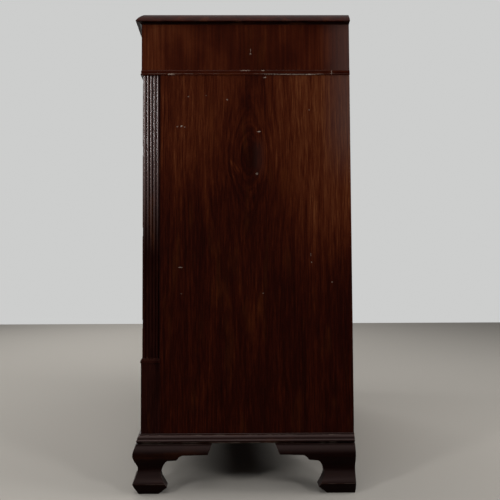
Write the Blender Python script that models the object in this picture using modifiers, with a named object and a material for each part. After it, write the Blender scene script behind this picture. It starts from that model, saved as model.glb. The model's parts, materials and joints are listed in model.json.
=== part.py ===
"""A chest of drawers: two short and three long drawers in a case with reeded corner posts, on
ogee bracket feet. Sizes are in metres, the front faces -Y and the floor is z = 0."""

import math

import bmesh
import bpy
from mathutils import Matrix, Vector

for old in list(bpy.data.objects):
    bpy.data.objects.remove(old, do_unlink=True)

# Clearances
FIT = 0.0003  # between pieces that are glued, nailed or seated
PLAY = 0.0015  # round a drawer front in its opening, and beside its drawer
SINK = 0.002  # how far a fused block reaches into the board that carries it
WELD = 1e-6  # points closer than this are one

# Smoothness
CURVE_STEPS = 6  # straight runs along a moulding's curve or a reed
SMALL_STEPS = 4  # along a small round
LINE_STEPS = 2  # between two given points of a drawn line
TURN_SIDES = 12  # round a turned post or a bore

# Case
CASE_WIDTH = 1.060
CASE_DEPTH = 0.520
POST_WIDTH = 0.047  # each face of a square corner post
SIDE_THICKNESS = 0.019
BACK_THICKNESS = 0.012
BOTTOM_THICKNESS = 0.030
FRIEZE_THICKNESS = 0.022
FRIEZE_HEIGHT = 0.1394
RAIL_THICKNESS = 0.018
RAIL_DEPTH = 0.060  # of the front rail, and the width of the runners
DUSTBOARD = 0.010
GUIDE_HEIGHT = 0.030
KICKER_WIDTH = 0.028
KICKER_HEIGHT = 0.020
DIVIDER_THICKNESS = 0.020
BACK_BOARDS = 5
BACK_GROOVE = 0.003

# Drawer openings
LONG_OPENINGS = (0.241, 0.215, 0.190)  # heights, from the bottom
SHORT_OPENING = 0.166

# Top and mouldings
TOP_THICKNESS = 0.0220
TOP_OVERHANG = 0.014
TOP_SLOPE = 0.0200  # height of the sloping upper edge
TOP_SLOPE_INSET = 0.005  # the flat top ends this far inside the case
TOP_SLOPE_SAG = 0.0018
TOP_NOSE = 0.0016
COVE_HEIGHT = 0.0042
COVE_OUT = 0.0105
COVE_FOOT = 0.0010
COVE_SAG = 0.0009
BEAD_RISE = 0.0075  # from the drawer opening up to the bead
BEAD_HEIGHT = 0.0122
BEAD_LIP = 0.0024
BEAD_LIP_HEIGHT = 0.0038
BEAD_FOOT = 0.0007
BEAD_ROUND = 0.0008
BASE_HEIGHT = 0.0222
BASE_OUT = 0.0105
BASE_STEPS = ((0.0070, 0.0), (0.0074, 0.0017), (0.0092, 0.0027))  # undercut of the torus
BASE_TORUS = 0.0030
BASE_TORUS_SWEEP = (-50, 70)  # degrees
BASE_OVOLO_FOOT = (0.0078, 0.0102)
BASE_OVOLO_HEAD = (0.0026, 0.0183)
BASE_OVOLO_SAG = 0.0015
BASE_TOP_BEAD = 0.0016
BASE_BEAD_SWEEP = (-30, 90)  # degrees

# Corner posts
BLOCK_HEIGHT = 0.1743  # plain block above the base moulding
REEDS = 4  # on each face, beside the bead that both faces share
REED_PITCH = 0.0082
REED_WIDTH = 0.0076
REED_RISE = 0.0029
REED_DEPTH = 0.0032  # crests lie this far inside the plain block's faces
REED_MARGIN = 0.0008  # slope from the last reed up to the plain edge
CORNER_BEAD = 0.0041  # radius
LIP_OUT = 0.0015  # lip at the top of the plain block
LIP_HEIGHT = 0.0045
STOP_HEIGHT = 0.0070  # the reeds deepen from nothing to their full depth over this
STOP_STEPS = ((0.25, 0.06), (0.55, 0.28), (0.80, 0.60), (1.0, 1.0))  # shares of height, of depth

# Bracket feet
FOOT_HEIGHT = 0.120
FOOT_OGEE = (  # projection beyond the case, share of the foot's height
    (0.0040, 0.000),
    (0.0106, 0.095),
    (0.0180, 0.222),
    (0.0138, 0.300),
    (0.0092, 0.395),
    (0.0062, 0.490),
    (0.0080, 0.570),
    (0.0138, 0.655),
    (0.0184, 0.770),
    (0.0174, 0.855),
    (0.0146, 0.915),
    (0.0106, 0.975),
)
FOOT_WALL = 0.016  # thickness behind the case's face
FOOT_LENGTH = 0.173  # front feet, from the case's corner along each face
REAR_FOOT_LENGTH = 0.194
REAR_BRACKET_LENGTH = 0.120
REAR_BRACKET_THICKNESS = 0.018
FOOT_BLOCK = 0.026
FOOT_BLOCK_LIFT = 0.012
BRACKET_HEAD = 0.0240  # depth of a bracket's inner end
BRACKET_HEAD_SLOPE = 0.010
BRACKET_LINE = (  # from a bracket's step to its toe: distance from the corner, share of the height
    (0.1010, 0.786),
    (0.0930, 0.748),
    (0.0868, 0.684),
    (0.0660, 0.672),
    (0.0575, 0.600),
    (0.0514, 0.480),
    (0.0503, 0.395),
    (0.0556, 0.280),
    (0.0647, 0.155),
    (0.0436, 0.000),
)
REAR_LINE_SHIFT = 0.0250  # the rear foot's toe stands this much farther from the back

# Drawers
DRAWER_REAR_GAP = 0.023  # between a shut drawer and the back boards
DRAWER_FRONT = 0.022
DRAWER_LAP = 0.006  # front wood before the dovetails' tips
DRAWER_SIDE = 0.010
DRAWER_BACK = 0.010
DRAWER_BOTTOM = 0.0065
SIDE_DROP = 0.004  # the sides stop this far below the opening's top
BACK_DROP = 0.010  # and the back this far below the sides
GROOVE_RISE = 0.008
GROOVE_DEPTH = 0.004
TAIL_SPACING = 0.046
TAIL_SLOPE = 1 / 6
PIN_WIDTH = 0.006
COCKBEAD_WIDTH = 0.0036
COCKBEAD_PROUD = 0.0020

# Handles
HANDLE_SPACING = 0.090  # between the posts
HANDLE_RISE = 0.012  # the pivots' height over the middle of the front
PLATE_THICKNESS = 0.0016
PIVOT_OUT = 0.0145  # from the drawer's face
POST_HEAD = 0.0050
POST_HEAD_SWEEP = (90, -50)  # degrees
POST_NECK = 0.0030
POST_FOOT = 0.0062
POST_FOOT_HEIGHT = 0.0032
PIN_RADIUS = 0.0018
PIN_ENTRY = 0.003
BAIL_RADIUS = 0.0030
BAIL_LINE = (  # from a post outwards, down and in to the grip: beyond the post, height
    (0.0065, 0.0000),
    (0.0097, -0.0013),
    (0.0112, -0.0050),
    (0.0095, -0.0112),
    (0.0040, -0.0165),
    (-0.0040, -0.0190),
    (-0.0130, -0.0212),
    (-0.0225, -0.0250),
    (-0.0330, -0.0285),
)
BAIL_DROP = 0.0300
PLATE_LINE = (  # one half of the back plate, from its top to its lowest point
    (0.0000, 0.0190),
    (0.0110, 0.0245),
    (0.0270, 0.0195),
    (0.0420, 0.0235),
    (0.0540, 0.0125),
    (0.0660, 0.0060),
    (0.0640, -0.0060),
    (0.0520, -0.0130),
    (0.0400, -0.0215),
    (0.0250, -0.0225),
    (0.0120, -0.0310),
    (0.0000, -0.0370),
)

# Places that follow from the sizes
FOOT_BULGE = max(out for out, share in FOOT_OGEE)
DRAWER_LENGTH = CASE_DEPTH - BACK_THICKNESS - DRAWER_REAR_GAP
BACK_Y = (CASE_DEPTH + FOOT_BULGE) / 2
FRONT_Y = BACK_Y - CASE_DEPTH
POST_Y = FRONT_Y + POST_WIDTH
INSIDE_Y = BACK_Y - BACK_THICKNESS - FIT
SIDE_X = CASE_WIDTH / 2
INSIDE_X = SIDE_X - SIDE_THICKNESS
OPENING_X = SIDE_X - POST_WIDTH
ROWS = [FOOT_HEIGHT + BOTTOM_THICKNESS]
for height in LONG_OPENINGS:
    ROWS.append(ROWS[-1] + height + RAIL_THICKNESS)
FRIEZE_Z = ROWS[-1] + SHORT_OPENING
TOP_Z = FRIEZE_Z + FRIEZE_HEIGHT
BEAD_Z = FRIEZE_Z + BEAD_RISE
BLOCK_TOP = FOOT_HEIGHT + BASE_HEIGHT + BLOCK_HEIGHT
HANDLE_X = (DIVIDER_THICKNESS / 2 + OPENING_X) / 2
CASE_PATH = [
    Vector((SIDE_X, BACK_Y)),
    Vector((SIDE_X, FRONT_Y)),
    Vector((-SIDE_X, FRONT_Y)),
    Vector((-SIDE_X, BACK_Y)),
]

# Which way a flat outline's own x, y and thickness point
PLAN = Matrix.Identity(4)
FROM_SIDE = Matrix(((0, 0, 1, 0), (1, 0, 0, 0), (0, 1, 0, 0), (0, 0, 0, 1)))
FROM_FRONT = Matrix(((1, 0, 0, 0), (0, 0, -1, 0), (0, 1, 0, 0), (0, 0, 0, 1)))

parts = bpy.data.collections.new("chest_of_drawers")
cutters = bpy.data.collections.new("cutters")
bpy.context.scene.collection.children.link(parts)
bpy.context.scene.collection.children.link(cutters)


def paint(obj, colour, roughness, metallic=0.0):
    """Give a piece a material of its own."""
    material = bpy.data.materials.new(obj.name)
    material.use_nodes = True
    shader = material.node_tree.nodes["Principled BSDF"]
    shader.inputs["Base Color"].default_value = (*colour, 1)
    shader.inputs["Roughness"].default_value = roughness
    shader.inputs["Metallic"].default_value = metallic
    obj.data.materials.clear()
    obj.data.materials.append(material)
    return obj


def mahogany(obj):
    return paint(obj, (0.085, 0.024, 0.012), 0.32)


def oak(obj):
    return paint(obj, (0.36, 0.22, 0.11), 0.60)


def brass(obj):
    return paint(obj, (0.62, 0.42, 0.16), 0.30, 1.0)


def add(name, mesh, parent=None, tool=False):
    """Put a mesh in the scene as a piece, or as the tool of a Boolean."""
    obj = bpy.data.objects.new(name, mesh)
    (cutters if tool else parts).objects.link(obj)
    if tool:
        obj.hide_render = True
        obj.display_type = "WIRE"
    obj.parent = parent
    return obj


def from_bmesh(name, bm, parent=None, tool=False):
    bmesh.ops.recalc_face_normals(bm, faces=bm.faces)
    mesh = bpy.data.meshes.new(name)
    bm.to_mesh(mesh)
    bm.free()
    return add(name, mesh, parent, tool)


def box(name, low, high, parent=None, tool=False):
    """A board that reaches from one corner to the other."""
    low, high = Vector(low), Vector(high)
    bm = bmesh.new()
    size = Matrix.Diagonal((*(high - low), 1))
    bmesh.ops.create_cube(bm, size=1, matrix=Matrix.Translation((low + high) / 2) @ size)
    return from_bmesh(name, bm, parent, tool)


def flat(name, outline, low, high, turn=PLAN, parent=None, tool=False):
    """A flat outline, from one level to the other along its thickness."""
    half = (high - low) / 2
    curve = bpy.data.curves.new(name, "CURVE")
    curve.dimensions = "2D"
    curve.fill_mode = "BOTH"
    curve.extrude = half
    line = curve.splines.new("POLY")
    line.points.add(len(outline) - 1)
    for point, place in zip(line.points, outline):
        point.co = (place[0], place[1], 0, 1)
    line.use_cyclic_u = True
    bm = welded(curve)
    for level in (-half, half):
        cap = [f for f in bm.faces if all(abs(v.co.z - level) < WELD for v in f.verts)]
        bmesh.ops.dissolve_faces(bm, faces=cap)
    place = turn @ Matrix.Translation((0, 0, (low + high) / 2))
    bmesh.ops.transform(bm, matrix=place, verts=bm.verts)
    return from_bmesh(name, bm, parent, tool)


def welded(curve):
    """A curve's mesh, its caps joined to its walls."""
    holder = bpy.data.objects.new(curve.name, curve)
    mesh = bpy.data.meshes.new_from_object(holder)
    bpy.data.objects.remove(holder)
    bm = bmesh.new()
    bm.from_mesh(mesh)
    bpy.data.meshes.remove(mesh)
    bmesh.ops.remove_doubles(bm, verts=bm.verts, dist=WELD)
    return bm


def loft(name, rings, parent=None, tool=False):
    """A solid through rings of points: the first is a face, extruded to each of the others."""
    bm = bmesh.new()
    number = bm.verts.layers.int.new("number")
    corners = [bm.verts.new(point) for point in rings[0]]
    for index, corner in enumerate(corners):
        corner[number] = index
    face = bm.faces.new(corners)
    for step, ring in enumerate(rings[1:]):
        grown = bmesh.ops.extrude_face_region(bm, geom=[face])["geom"]
        if step:
            bm.faces.remove(face)
        face = next(item for item in grown if isinstance(item, bmesh.types.BMFace))
        for corner in face.verts:
            corner.co = ring[corner[number]]
    return from_bmesh(name, bm, parent, tool)


def combine(obj, tools, operation):
    for tool in tools:
        step = obj.modifiers.new(tool.name, "BOOLEAN")
        step.operation = operation
        step.solver = "EXACT"
        step.object = tool
    return obj


def fuse(obj, *tools):
    return combine(obj, tools, "UNION")


def cut(obj, *tools):
    return combine(obj, tools, "DIFFERENCE")


def mirrored(points):
    return [(-x, y) for x, y in points]


def arc(centre, radius, start, end, steps):
    """Points of a round stretch, between two angles in degrees."""
    angles = [math.radians(start + (end - start) * i / steps) for i in range(steps + 1)]
    return [(centre[0] + radius * math.cos(a), centre[1] + radius * math.sin(a)) for a in angles]


def sagged(start, end, sag, steps):
    """A shallow curve between two points, bent to the left of its way by sag."""
    start, end = Vector(start), Vector(end)
    left = Vector((start.y - end.y, end.x - start.x)).normalized()
    ways = [i / steps for i in range(steps + 1)]
    return [tuple(start.lerp(end, t) + left * (4 * sag * t * (1 - t))) for t in ways]


def smooth(points, steps, closed=False):
    """A Catmull-Rom curve through the points, that passes through each of them."""
    points = [Vector(point) for point in points]
    count = len(points)
    curve = []
    for i in range(count if closed else count - 1):
        if closed:
            a, b, c, d = (points[(i + k) % count] for k in (-1, 0, 1, 2))
        else:
            a, b, c, d = (points[min(max(i + k, 0), count - 1)] for k in (-1, 0, 1, 2))
        for step in range(steps):
            t = step / steps
            bend = (2 * a - 5 * b + 4 * c - d) * t * t + (3 * b - a - 3 * c + d) * t**3
            curve.append(tuple(b + ((c - a) * t + bend) / 2))
    return curve if closed else curve + [tuple(points[-1])]


def outward(start, end):
    way = (end - start).normalized()
    return Vector((-way.y, way.x))


def mitre(path, index, out):
    """The point of a mitred line that runs at a distance outside the path."""
    runs = [outward(a, b) for a, b in zip(path, path[1:])]
    before, after = runs[max(index - 1, 0)], runs[min(index, len(runs) - 1)]
    both = before + after
    return path[index] + both * (out / both.dot(before))


def moulding(name, profile, path, parent=None, tool=False):
    """A profile of projections and heights, run along the path with mitred corners."""
    rings = []
    for index in range(len(path)):
        rings.append([(*mitre(path, index, out), z) for out, z in profile])
    return loft(name, rings, parent, tool)


def empty(name, place, parent=None):
    obj = bpy.data.objects.new(name, None)
    obj.empty_display_size = 0.05
    obj.location = place
    obj.parent = parent
    parts.objects.link(obj)
    return obj


def top_board():
    """The top, its edge a long slope over a small nose, flush at the back."""
    base = TOP_Z + FIT
    crown = TOP_Z + TOP_THICKNESS
    spring = crown - TOP_SLOPE
    edge = [(TOP_OVERHANG - TOP_NOSE, base)]
    edge += arc((TOP_OVERHANG - TOP_NOSE, spring), TOP_NOSE, -90, 0, SMALL_STEPS)
    edge += sagged((TOP_OVERHANG, spring), (-TOP_SLOPE_INSET, crown), -TOP_SLOPE_SAG, CURVE_STEPS)[1:]
    rings = []
    for out, z in edge:
        rings.append([(*mitre(CASE_PATH, index, out), z) for index in range(len(CASE_PATH))])
    mahogany(loft("top_board", rings))


def top_cove():
    """The hollow moulding under the top."""
    low = TOP_Z - COVE_HEIGHT
    profile = [(FIT, low)]
    profile += sagged((COVE_FOOT, low), (COVE_OUT, TOP_Z - FIT), COVE_SAG, CURVE_STEPS)
    profile.append((FIT, TOP_Z - FIT))
    mahogany(moulding("top_cove_moulding", profile, CASE_PATH))


def frieze_bead():
    """The small bead and lip under the frieze."""
    shoulder = BEAD_Z + BEAD_LIP_HEIGHT
    profile = [(FIT, BEAD_Z), (BEAD_LIP, BEAD_Z), (BEAD_LIP, shoulder - BEAD_FOOT)]
    bead_foot, bead_head = (BEAD_FOOT, shoulder), (BEAD_FOOT, BEAD_Z + BEAD_HEIGHT)
    profile += sagged(bead_foot, bead_head, -BEAD_ROUND, CURVE_STEPS)
    profile.append((FIT, BEAD_Z + BEAD_HEIGHT))
    mahogany(moulding("frieze_bead", profile, CASE_PATH))


def base_moulding():
    """The moulding round the foot of the case: an undercut torus, an ovolo and a bead."""
    low = FOOT_HEIGHT + FIT
    torus = (BASE_OUT - BASE_TORUS, BASE_STEPS[-1][1] + BASE_TORUS)
    profile = [(FIT, 0)]
    profile += BASE_STEPS
    profile += arc(torus, BASE_TORUS, *BASE_TORUS_SWEEP, SMALL_STEPS)
    profile += sagged(BASE_OVOLO_FOOT, BASE_OVOLO_HEAD, -BASE_OVOLO_SAG, CURVE_STEPS)
    bead = (BASE_TOP_BEAD, BASE_HEIGHT - BASE_TOP_BEAD)
    profile += arc(bead, BASE_TOP_BEAD, *BASE_BEAD_SWEEP, SMALL_STEPS)
    profile.append((FIT, BASE_HEIGHT))
    mahogany(moulding("base_moulding", [(out, low + z) for out, z in profile], CASE_PATH))


def guide(name, side, low):
    """A strip that keeps a drawer straight, on the inside of a side board."""
    ends = sorted((side * (OPENING_X + FIT), side * (INSIDE_X + SINK)))
    return box(name, (ends[0], POST_Y + FIT, low + FIT),
               (ends[1], INSIDE_Y - FIT, low + GUIDE_HEIGHT), tool=True)


def side_board(name, side):
    ends = sorted((side * INSIDE_X, side * SIDE_X))
    board = box(name, (ends[0], POST_Y + FIT, FOOT_HEIGHT + FIT), (ends[1], BACK_Y, TOP_Z - FIT))
    fuse(board, *[guide(f"{name}_guide_{row}", side, low) for row, low in enumerate(ROWS)])
    mahogany(board)


def reeds():
    """Half of a post's reeding, from its plain edge in to the corner: run from the corner, depth."""
    half = REED_WIDTH / 2
    radius = (half**2 + REED_RISE**2) / (2 * REED_RISE)
    spread = math.degrees(math.asin(half / radius))
    bead_sweep = math.acos(1 - REED_RISE / CORNER_BEAD)
    first = REED_DEPTH + CORNER_BEAD * (1 + math.sin(bead_sweep)) + REED_PITCH / 2
    line = []
    for reed in reversed(range(REEDS)):
        middle = (first + reed * REED_PITCH, -radius - REED_DEPTH)
        crest = arc(middle, radius, 90 - spread, 90 + spread, SMALL_STEPS)
        line += [(run, -depth) for run, depth in crest]
    line.insert(0, (line[0][0] + REED_MARGIN, 0))
    return line


def corner_bead():
    """Half of the bead that both faces share, from its quirk out to the corner."""
    centre = REED_DEPTH + CORNER_BEAD
    sweep = math.degrees(math.acos(1 - REED_RISE / CORNER_BEAD))
    bead = arc((centre, -centre), CORNER_BEAD, 90 - sweep, 135, SMALL_STEPS)
    return [(run, -depth) for run, depth in bead]


def post_level(side, z, out, share):
    """A post's outline at one height, pushed out by a lip or sunk by a share of the reeding."""
    bead = corner_bead()
    reach = bead[0][0]
    half = [(run, depth * share - out) for run, depth in reeds()]
    for index, (run, depth) in enumerate(bead):
        square = reach * (1 - index / SMALL_STEPS)
        sunk = depth * share - out
        half.append((square + (run - square) * share if index < SMALL_STEPS else sunk, sunk))
    face = [(SIDE_X - run, FRONT_Y + depth) for run, depth in half]
    turned = [(SIDE_X - depth, FRONT_Y + run) for run, depth in reversed(half[:-1])]
    outline = [(OPENING_X, FRONT_Y - out), *face, *turned, (SIDE_X + out, POST_Y), (OPENING_X, POST_Y)]
    return [(side * x, y, z) for x, y in outline]


def corner_post(name, side):
    """A square post: a lipped plain block, reeds round the corner, a frieze block."""
    lip = BLOCK_TOP - LIP_HEIGHT
    levels = [(FOOT_HEIGHT + FIT, 0, 0), (lip, 0, 0), (lip, LIP_OUT, 0), (BLOCK_TOP, LIP_OUT, 0)]
    levels += [(BLOCK_TOP + STOP_HEIGHT * high, LIP_OUT * (1 - high), deep) for high, deep in STOP_STEPS]
    levels += [(BEAD_Z, 0, 1), (BEAD_Z, 0, 0), (TOP_Z - FIT, 0, 0)]
    mahogany(loft(name, [post_level(side, *level) for level in levels]))


def floor_outline():
    """The plan of a board that fills the case and comes forward between the corner posts."""
    wide, narrow = INSIDE_X - FIT, OPENING_X - FIT
    half = [(narrow, FRONT_Y), (narrow, POST_Y + FIT), (wide, POST_Y + FIT), (wide, INSIDE_Y - FIT)]
    return half + mirrored(reversed(half))


def hollow_below(board, low, depth):
    """Thin a board from below, and leave a front rail, two runners and a back edge."""
    inner = OPENING_X - RAIL_DEPTH
    cut(board, box(f"{board.name}_hollow", (-inner, FRONT_Y + RAIL_DEPTH, low - SINK),
                   (inner, INSIDE_Y - RAIL_DEPTH, low + depth), tool=True))


def bottom_board():
    low, high = FOOT_HEIGHT + FIT, ROWS[0]
    board = flat("bottom_board", floor_outline(), low, high)
    hollow_below(board, low, BOTTOM_THICKNESS - RAIL_THICKNESS)
    mahogany(board)


def rails():
    """The rail under each upper drawer row, with its runners and dustboard."""
    for number, high in enumerate(ROWS[1:], 1):
        low = high - RAIL_THICKNESS
        board = flat(f"rail_{number}", floor_outline(), low, high)
        hollow_below(board, low, RAIL_THICKNESS - DUSTBOARD)
        mahogany(board)


def frieze_board():
    """The board behind the frieze, with the kickers that keep the short drawers level."""
    board = box("frieze_board", (FIT - OPENING_X, FRONT_Y, FRIEZE_Z),
                (OPENING_X - FIT, FRONT_Y + FRIEZE_THICKNESS, TOP_Z - FIT))
    edge = OPENING_X - FIT - KICKER_WIDTH / 2
    kickers = []
    for name, middle in (("left", -edge), ("middle", 0), ("right", edge)):
        low = (middle - KICKER_WIDTH / 2, FRONT_Y + FRIEZE_THICKNESS - SINK, FRIEZE_Z)
        high = (middle + KICKER_WIDTH / 2, INSIDE_Y - FIT, FRIEZE_Z + KICKER_HEIGHT)
        kickers.append(box(f"kicker_{name}", low, high, tool=True))
    mahogany(fuse(board, *kickers))


def drawer_divider():
    """The upright between the short drawers, with the guide behind it."""
    low, high = ROWS[-1] + FIT, FRIEZE_Z - FIT
    outline = [
        (FRONT_Y, low),
        (INSIDE_Y - FIT, low),
        (INSIDE_Y - FIT, low + GUIDE_HEIGHT),
        (FRONT_Y + RAIL_DEPTH, low + GUIDE_HEIGHT),
        (FRONT_Y + RAIL_DEPTH, high),
        (FRONT_Y, high),
    ]
    half = DIVIDER_THICKNESS / 2
    mahogany(flat("drawer_divider", outline, -half, half, FROM_SIDE))


def back_panel():
    """Upright back boards, with a V groove at each joint."""
    edge = INSIDE_X - FIT
    outline = [(edge, BACK_Y - BACK_THICKNESS), (edge, BACK_Y)]
    for joint in range(1, BACK_BOARDS):
        x = edge - 2 * edge * joint / BACK_BOARDS
        outline += [(x + BACK_GROOVE, BACK_Y), (x, BACK_Y - BACK_GROOVE), (x - BACK_GROOVE, BACK_Y)]
    outline += [(-edge, BACK_Y), (-edge, BACK_Y - BACK_THICKNESS)]
    oak(flat("back_panel", outline, FOOT_HEIGHT + FIT, TOP_Z - FIT))


def foot_profile():
    """The ogee face of a foot, closed by its flat back."""
    high = FOOT_HEIGHT - FIT
    ogee = smooth([(out, share * FOOT_HEIGHT) for out, share in FOOT_OGEE], LINE_STEPS)
    return [(-FOOT_WALL, 0)] + ogee + [(FOOT_OGEE[-1][0], high), (-FOOT_WALL, high)]


def bracket_cut(length, shift=0.0):
    """What is sawn out beside a foot: its bracket's lower edge, and all that is under it."""
    foot_line = [(run + shift, share * FOOT_HEIGHT) for run, share in BRACKET_LINE]
    head = FOOT_HEIGHT - BRACKET_HEAD
    run_out = length + FOOT_LENGTH
    waist = smooth(foot_line[:-1], LINE_STEPS)
    line = [(length + FIT, FOOT_HEIGHT), (length - BRACKET_HEAD_SLOPE, head)] + waist
    line += [foot_line[-1], (foot_line[-1][0], -FOOT_WALL)]
    return line + [(run_out, -FOOT_WALL), (run_out, FOOT_HEIGHT)]


def front_foot(name, side):
    """A side bracket and a front bracket, mitred, with a glue block behind."""
    path = [
        Vector((SIDE_X, FRONT_Y + FOOT_LENGTH)),
        Vector((SIDE_X, FRONT_Y)),
        Vector((SIDE_X - FOOT_LENGTH, FRONT_Y)),
    ]
    if side < 0:
        path = [Vector((-point.x, point.y)) for point in reversed(path)]
    foot = moulding(name, foot_profile(), path)
    gap = bracket_cut(FOOT_LENGTH)
    side_gap = [(FRONT_Y + run, z) for run, z in gap]
    front_gap = [(side * (SIDE_X - run), z) for run, z in gap]
    inner, outer = sorted((side * (SIDE_X - FOOT_WALL - SINK), side * (SIDE_X + 2 * FOOT_BULGE)))
    block_ends = sorted((side * (SIDE_X - FOOT_WALL + SINK), side * (SIDE_X - FOOT_WALL - FOOT_BLOCK)))
    block_y = FRONT_Y + FOOT_WALL
    fuse(foot, box(f"{name}_block", (block_ends[0], block_y - SINK, FOOT_BLOCK_LIFT),
                   (block_ends[1], block_y + FOOT_BLOCK, FOOT_HEIGHT - FIT), tool=True))
    cut(
        foot,
        flat(f"{name}_side_gap", side_gap, inner, outer, FROM_SIDE, tool=True),
        flat(f"{name}_front_gap", front_gap, -FRONT_Y - FOOT_WALL - SINK,
             -FRONT_Y + 2 * FOOT_BULGE, FROM_FRONT, tool=True),
    )
    mahogany(foot)


def rear_foot(name, side):
    """A side bracket cut off flush at the back, and a plain bracket across the back."""
    path = [Vector((SIDE_X, BACK_Y)), Vector((SIDE_X, BACK_Y - REAR_FOOT_LENGTH))]
    if side < 0:
        path = [Vector((-point.x, point.y)) for point in reversed(path)]
    foot = moulding(name, foot_profile(), path)
    gap = bracket_cut(REAR_FOOT_LENGTH, REAR_LINE_SHIFT)
    side_gap = [(BACK_Y - run, z) for run, z in gap]
    inner, outer = sorted((side * (SIDE_X - FOOT_WALL - SINK), side * (SIDE_X + 2 * FOOT_BULGE)))
    back = bracket_cut(REAR_BRACKET_LENGTH)
    edge = SIDE_X - FOOT_WALL + SINK
    outline = [(edge, FOOT_HEIGHT - FIT), (edge, 0), (SIDE_X - back[-3][0], 0)]
    outline += [(SIDE_X - run, z) for run, z in reversed(back[2:-3])]
    outline += [(SIDE_X - back[1][0], back[1][1]), (SIDE_X - REAR_BRACKET_LENGTH, FOOT_HEIGHT - FIT)]
    outline = [(side * x, z) for x, z in outline]
    block_ends = sorted((side * edge, side * (edge - SINK - FOOT_BLOCK)))
    block_y = BACK_Y - REAR_BRACKET_THICKNESS
    fuse(
        foot,
        flat(f"{name}_back", outline, -BACK_Y, REAR_BRACKET_THICKNESS - BACK_Y, FROM_FRONT, tool=True),
        box(f"{name}_block", (block_ends[0], block_y - FOOT_BLOCK, FOOT_BLOCK_LIFT),
            (block_ends[1], block_y + SINK, FOOT_HEIGHT - FIT), tool=True),
    )
    cut(foot, flat(f"{name}_side_gap", side_gap, inner, outer, FROM_SIDE, tool=True))
    mahogany(foot)


def tails(low, high, tip, start, end, grow=0.0):
    """Dovetails between two heights, widest at their tip: each one's corners (y, z), from start to end."""
    count = max(2, round((high - low) / TAIL_SPACING))
    pitch = (high - low) / count
    way = math.copysign(TAIL_SLOPE, start - end)
    found = []
    for tail in range(count):
        middle = low + (tail + 0.5) * pitch
        at_start, at_end = ((pitch - PIN_WIDTH) / 2 + grow - way * (y - tip) for y in (start, end))
        found.append([(start, middle - at_start), (end, middle - at_end),
                      (end, middle + at_end), (start, middle + at_start)])
    return found


def sockets(name, ends, half_width, thickness, parent):
    """The cutters of both sides' dovetails, a little larger than the tails."""
    tools = []
    for side, word in ((-1, "left"), (1, "right")):
        low, high = sorted((side * (half_width - thickness - FIT), side * (half_width + SINK)))
        for number, corners in enumerate(ends):
            tools.append(flat(f"{name}_socket_{word}_{number}", corners, low, high, FROM_SIDE,
                              parent, tool=True))
    return tools


def drawer_front(name, half_width, height, tail_range, groove, parent):
    """A front with a cockbead round its face, cut for the dovetails and the bottom."""
    bm = bmesh.new()
    low = Vector((-half_width, -COCKBEAD_PROUD, PLAY))
    high = Vector((half_width, DRAWER_FRONT, height - PLAY))
    size = Matrix.Diagonal((*(high - low), 1))
    bmesh.ops.create_cube(bm, size=1, matrix=Matrix.Translation((low + high) / 2) @ size)
    face = min(bm.faces, key=lambda item: item.calc_center_median().y)
    bmesh.ops.inset_region(bm, faces=[face], thickness=COCKBEAD_WIDTH)
    grown = bmesh.ops.extrude_face_region(bm, geom=[face])["geom"]
    bm.faces.remove(face)
    floor = [item for item in grown if isinstance(item, bmesh.types.BMVert)]
    bmesh.ops.translate(bm, verts=floor, vec=(0, COCKBEAD_PROUD, 0))
    front = min(edge.verts[0].co.y for edge in bm.edges)
    crest = [e for e in bm.edges if all(v.co.y < front + FIT for v in e.verts)
             and any(f.normal.y > -0.5 for f in e.link_faces)]
    bmesh.ops.recalc_face_normals(bm, faces=bm.faces)
    bmesh.ops.bevel(bm, geom=crest, offset=COCKBEAD_WIDTH / 3, segments=2, profile=0.5,
                    affect="EDGES", clamp_overlap=True)
    piece = from_bmesh(f"{name}_front", bm, parent)
    reach = DRAWER_FRONT - GROOVE_DEPTH
    grown_tails = tails(*tail_range, DRAWER_LAP + FIT, DRAWER_FRONT + SINK, DRAWER_LAP, FIT)
    inner = half_width - DRAWER_SIDE + FIT
    cut(piece, *sockets(f"{name}_front", grown_tails, half_width, DRAWER_SIDE, parent))
    cut(piece, box(f"{name}_front_groove", (-inner, reach, groove[0]),
                   (inner, DRAWER_FRONT + SINK, groove[1]), parent, tool=True))
    mahogany(piece)


def drawer_side(name, side, half_width, tail_range, back_range, groove, parent):
    """A side: one flat outline with dovetails at both ends, grooved for the bottom."""
    low, high = tail_range
    front_shoulder, front_tip = DRAWER_FRONT + FIT, DRAWER_LAP + FIT
    back_shoulder = DRAWER_LENGTH - DRAWER_BACK - FIT
    outline = [(front_shoulder, low), (DRAWER_LENGTH, low), (DRAWER_LENGTH, back_range[0] - FIT),
               (back_shoulder, back_range[0] - FIT)]
    for corners in tails(*back_range, DRAWER_LENGTH, back_shoulder, DRAWER_LENGTH):
        outline += corners
    outline += [(back_shoulder, back_range[1] + FIT), (DRAWER_LENGTH, back_range[1] + FIT),
                (DRAWER_LENGTH, high), (front_shoulder, high)]
    for corners in reversed(tails(*tail_range, front_tip, front_shoulder, front_tip)):
        outline += reversed(corners)
    inner = half_width - DRAWER_SIDE
    ends = sorted((side * inner, side * half_width))
    groove_ends = sorted((side * (inner - SINK), side * (inner + GROOVE_DEPTH)))
    word = "left" if side < 0 else "right"
    piece = flat(f"{name}_side_{word}", outline, *ends, FROM_SIDE, parent)
    cut(piece, box(f"{name}_groove_{word}", (groove_ends[0], 0, groove[0]),
                   (groove_ends[1], DRAWER_LENGTH + SINK, groove[1]), parent, tool=True))
    oak(piece)


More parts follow.
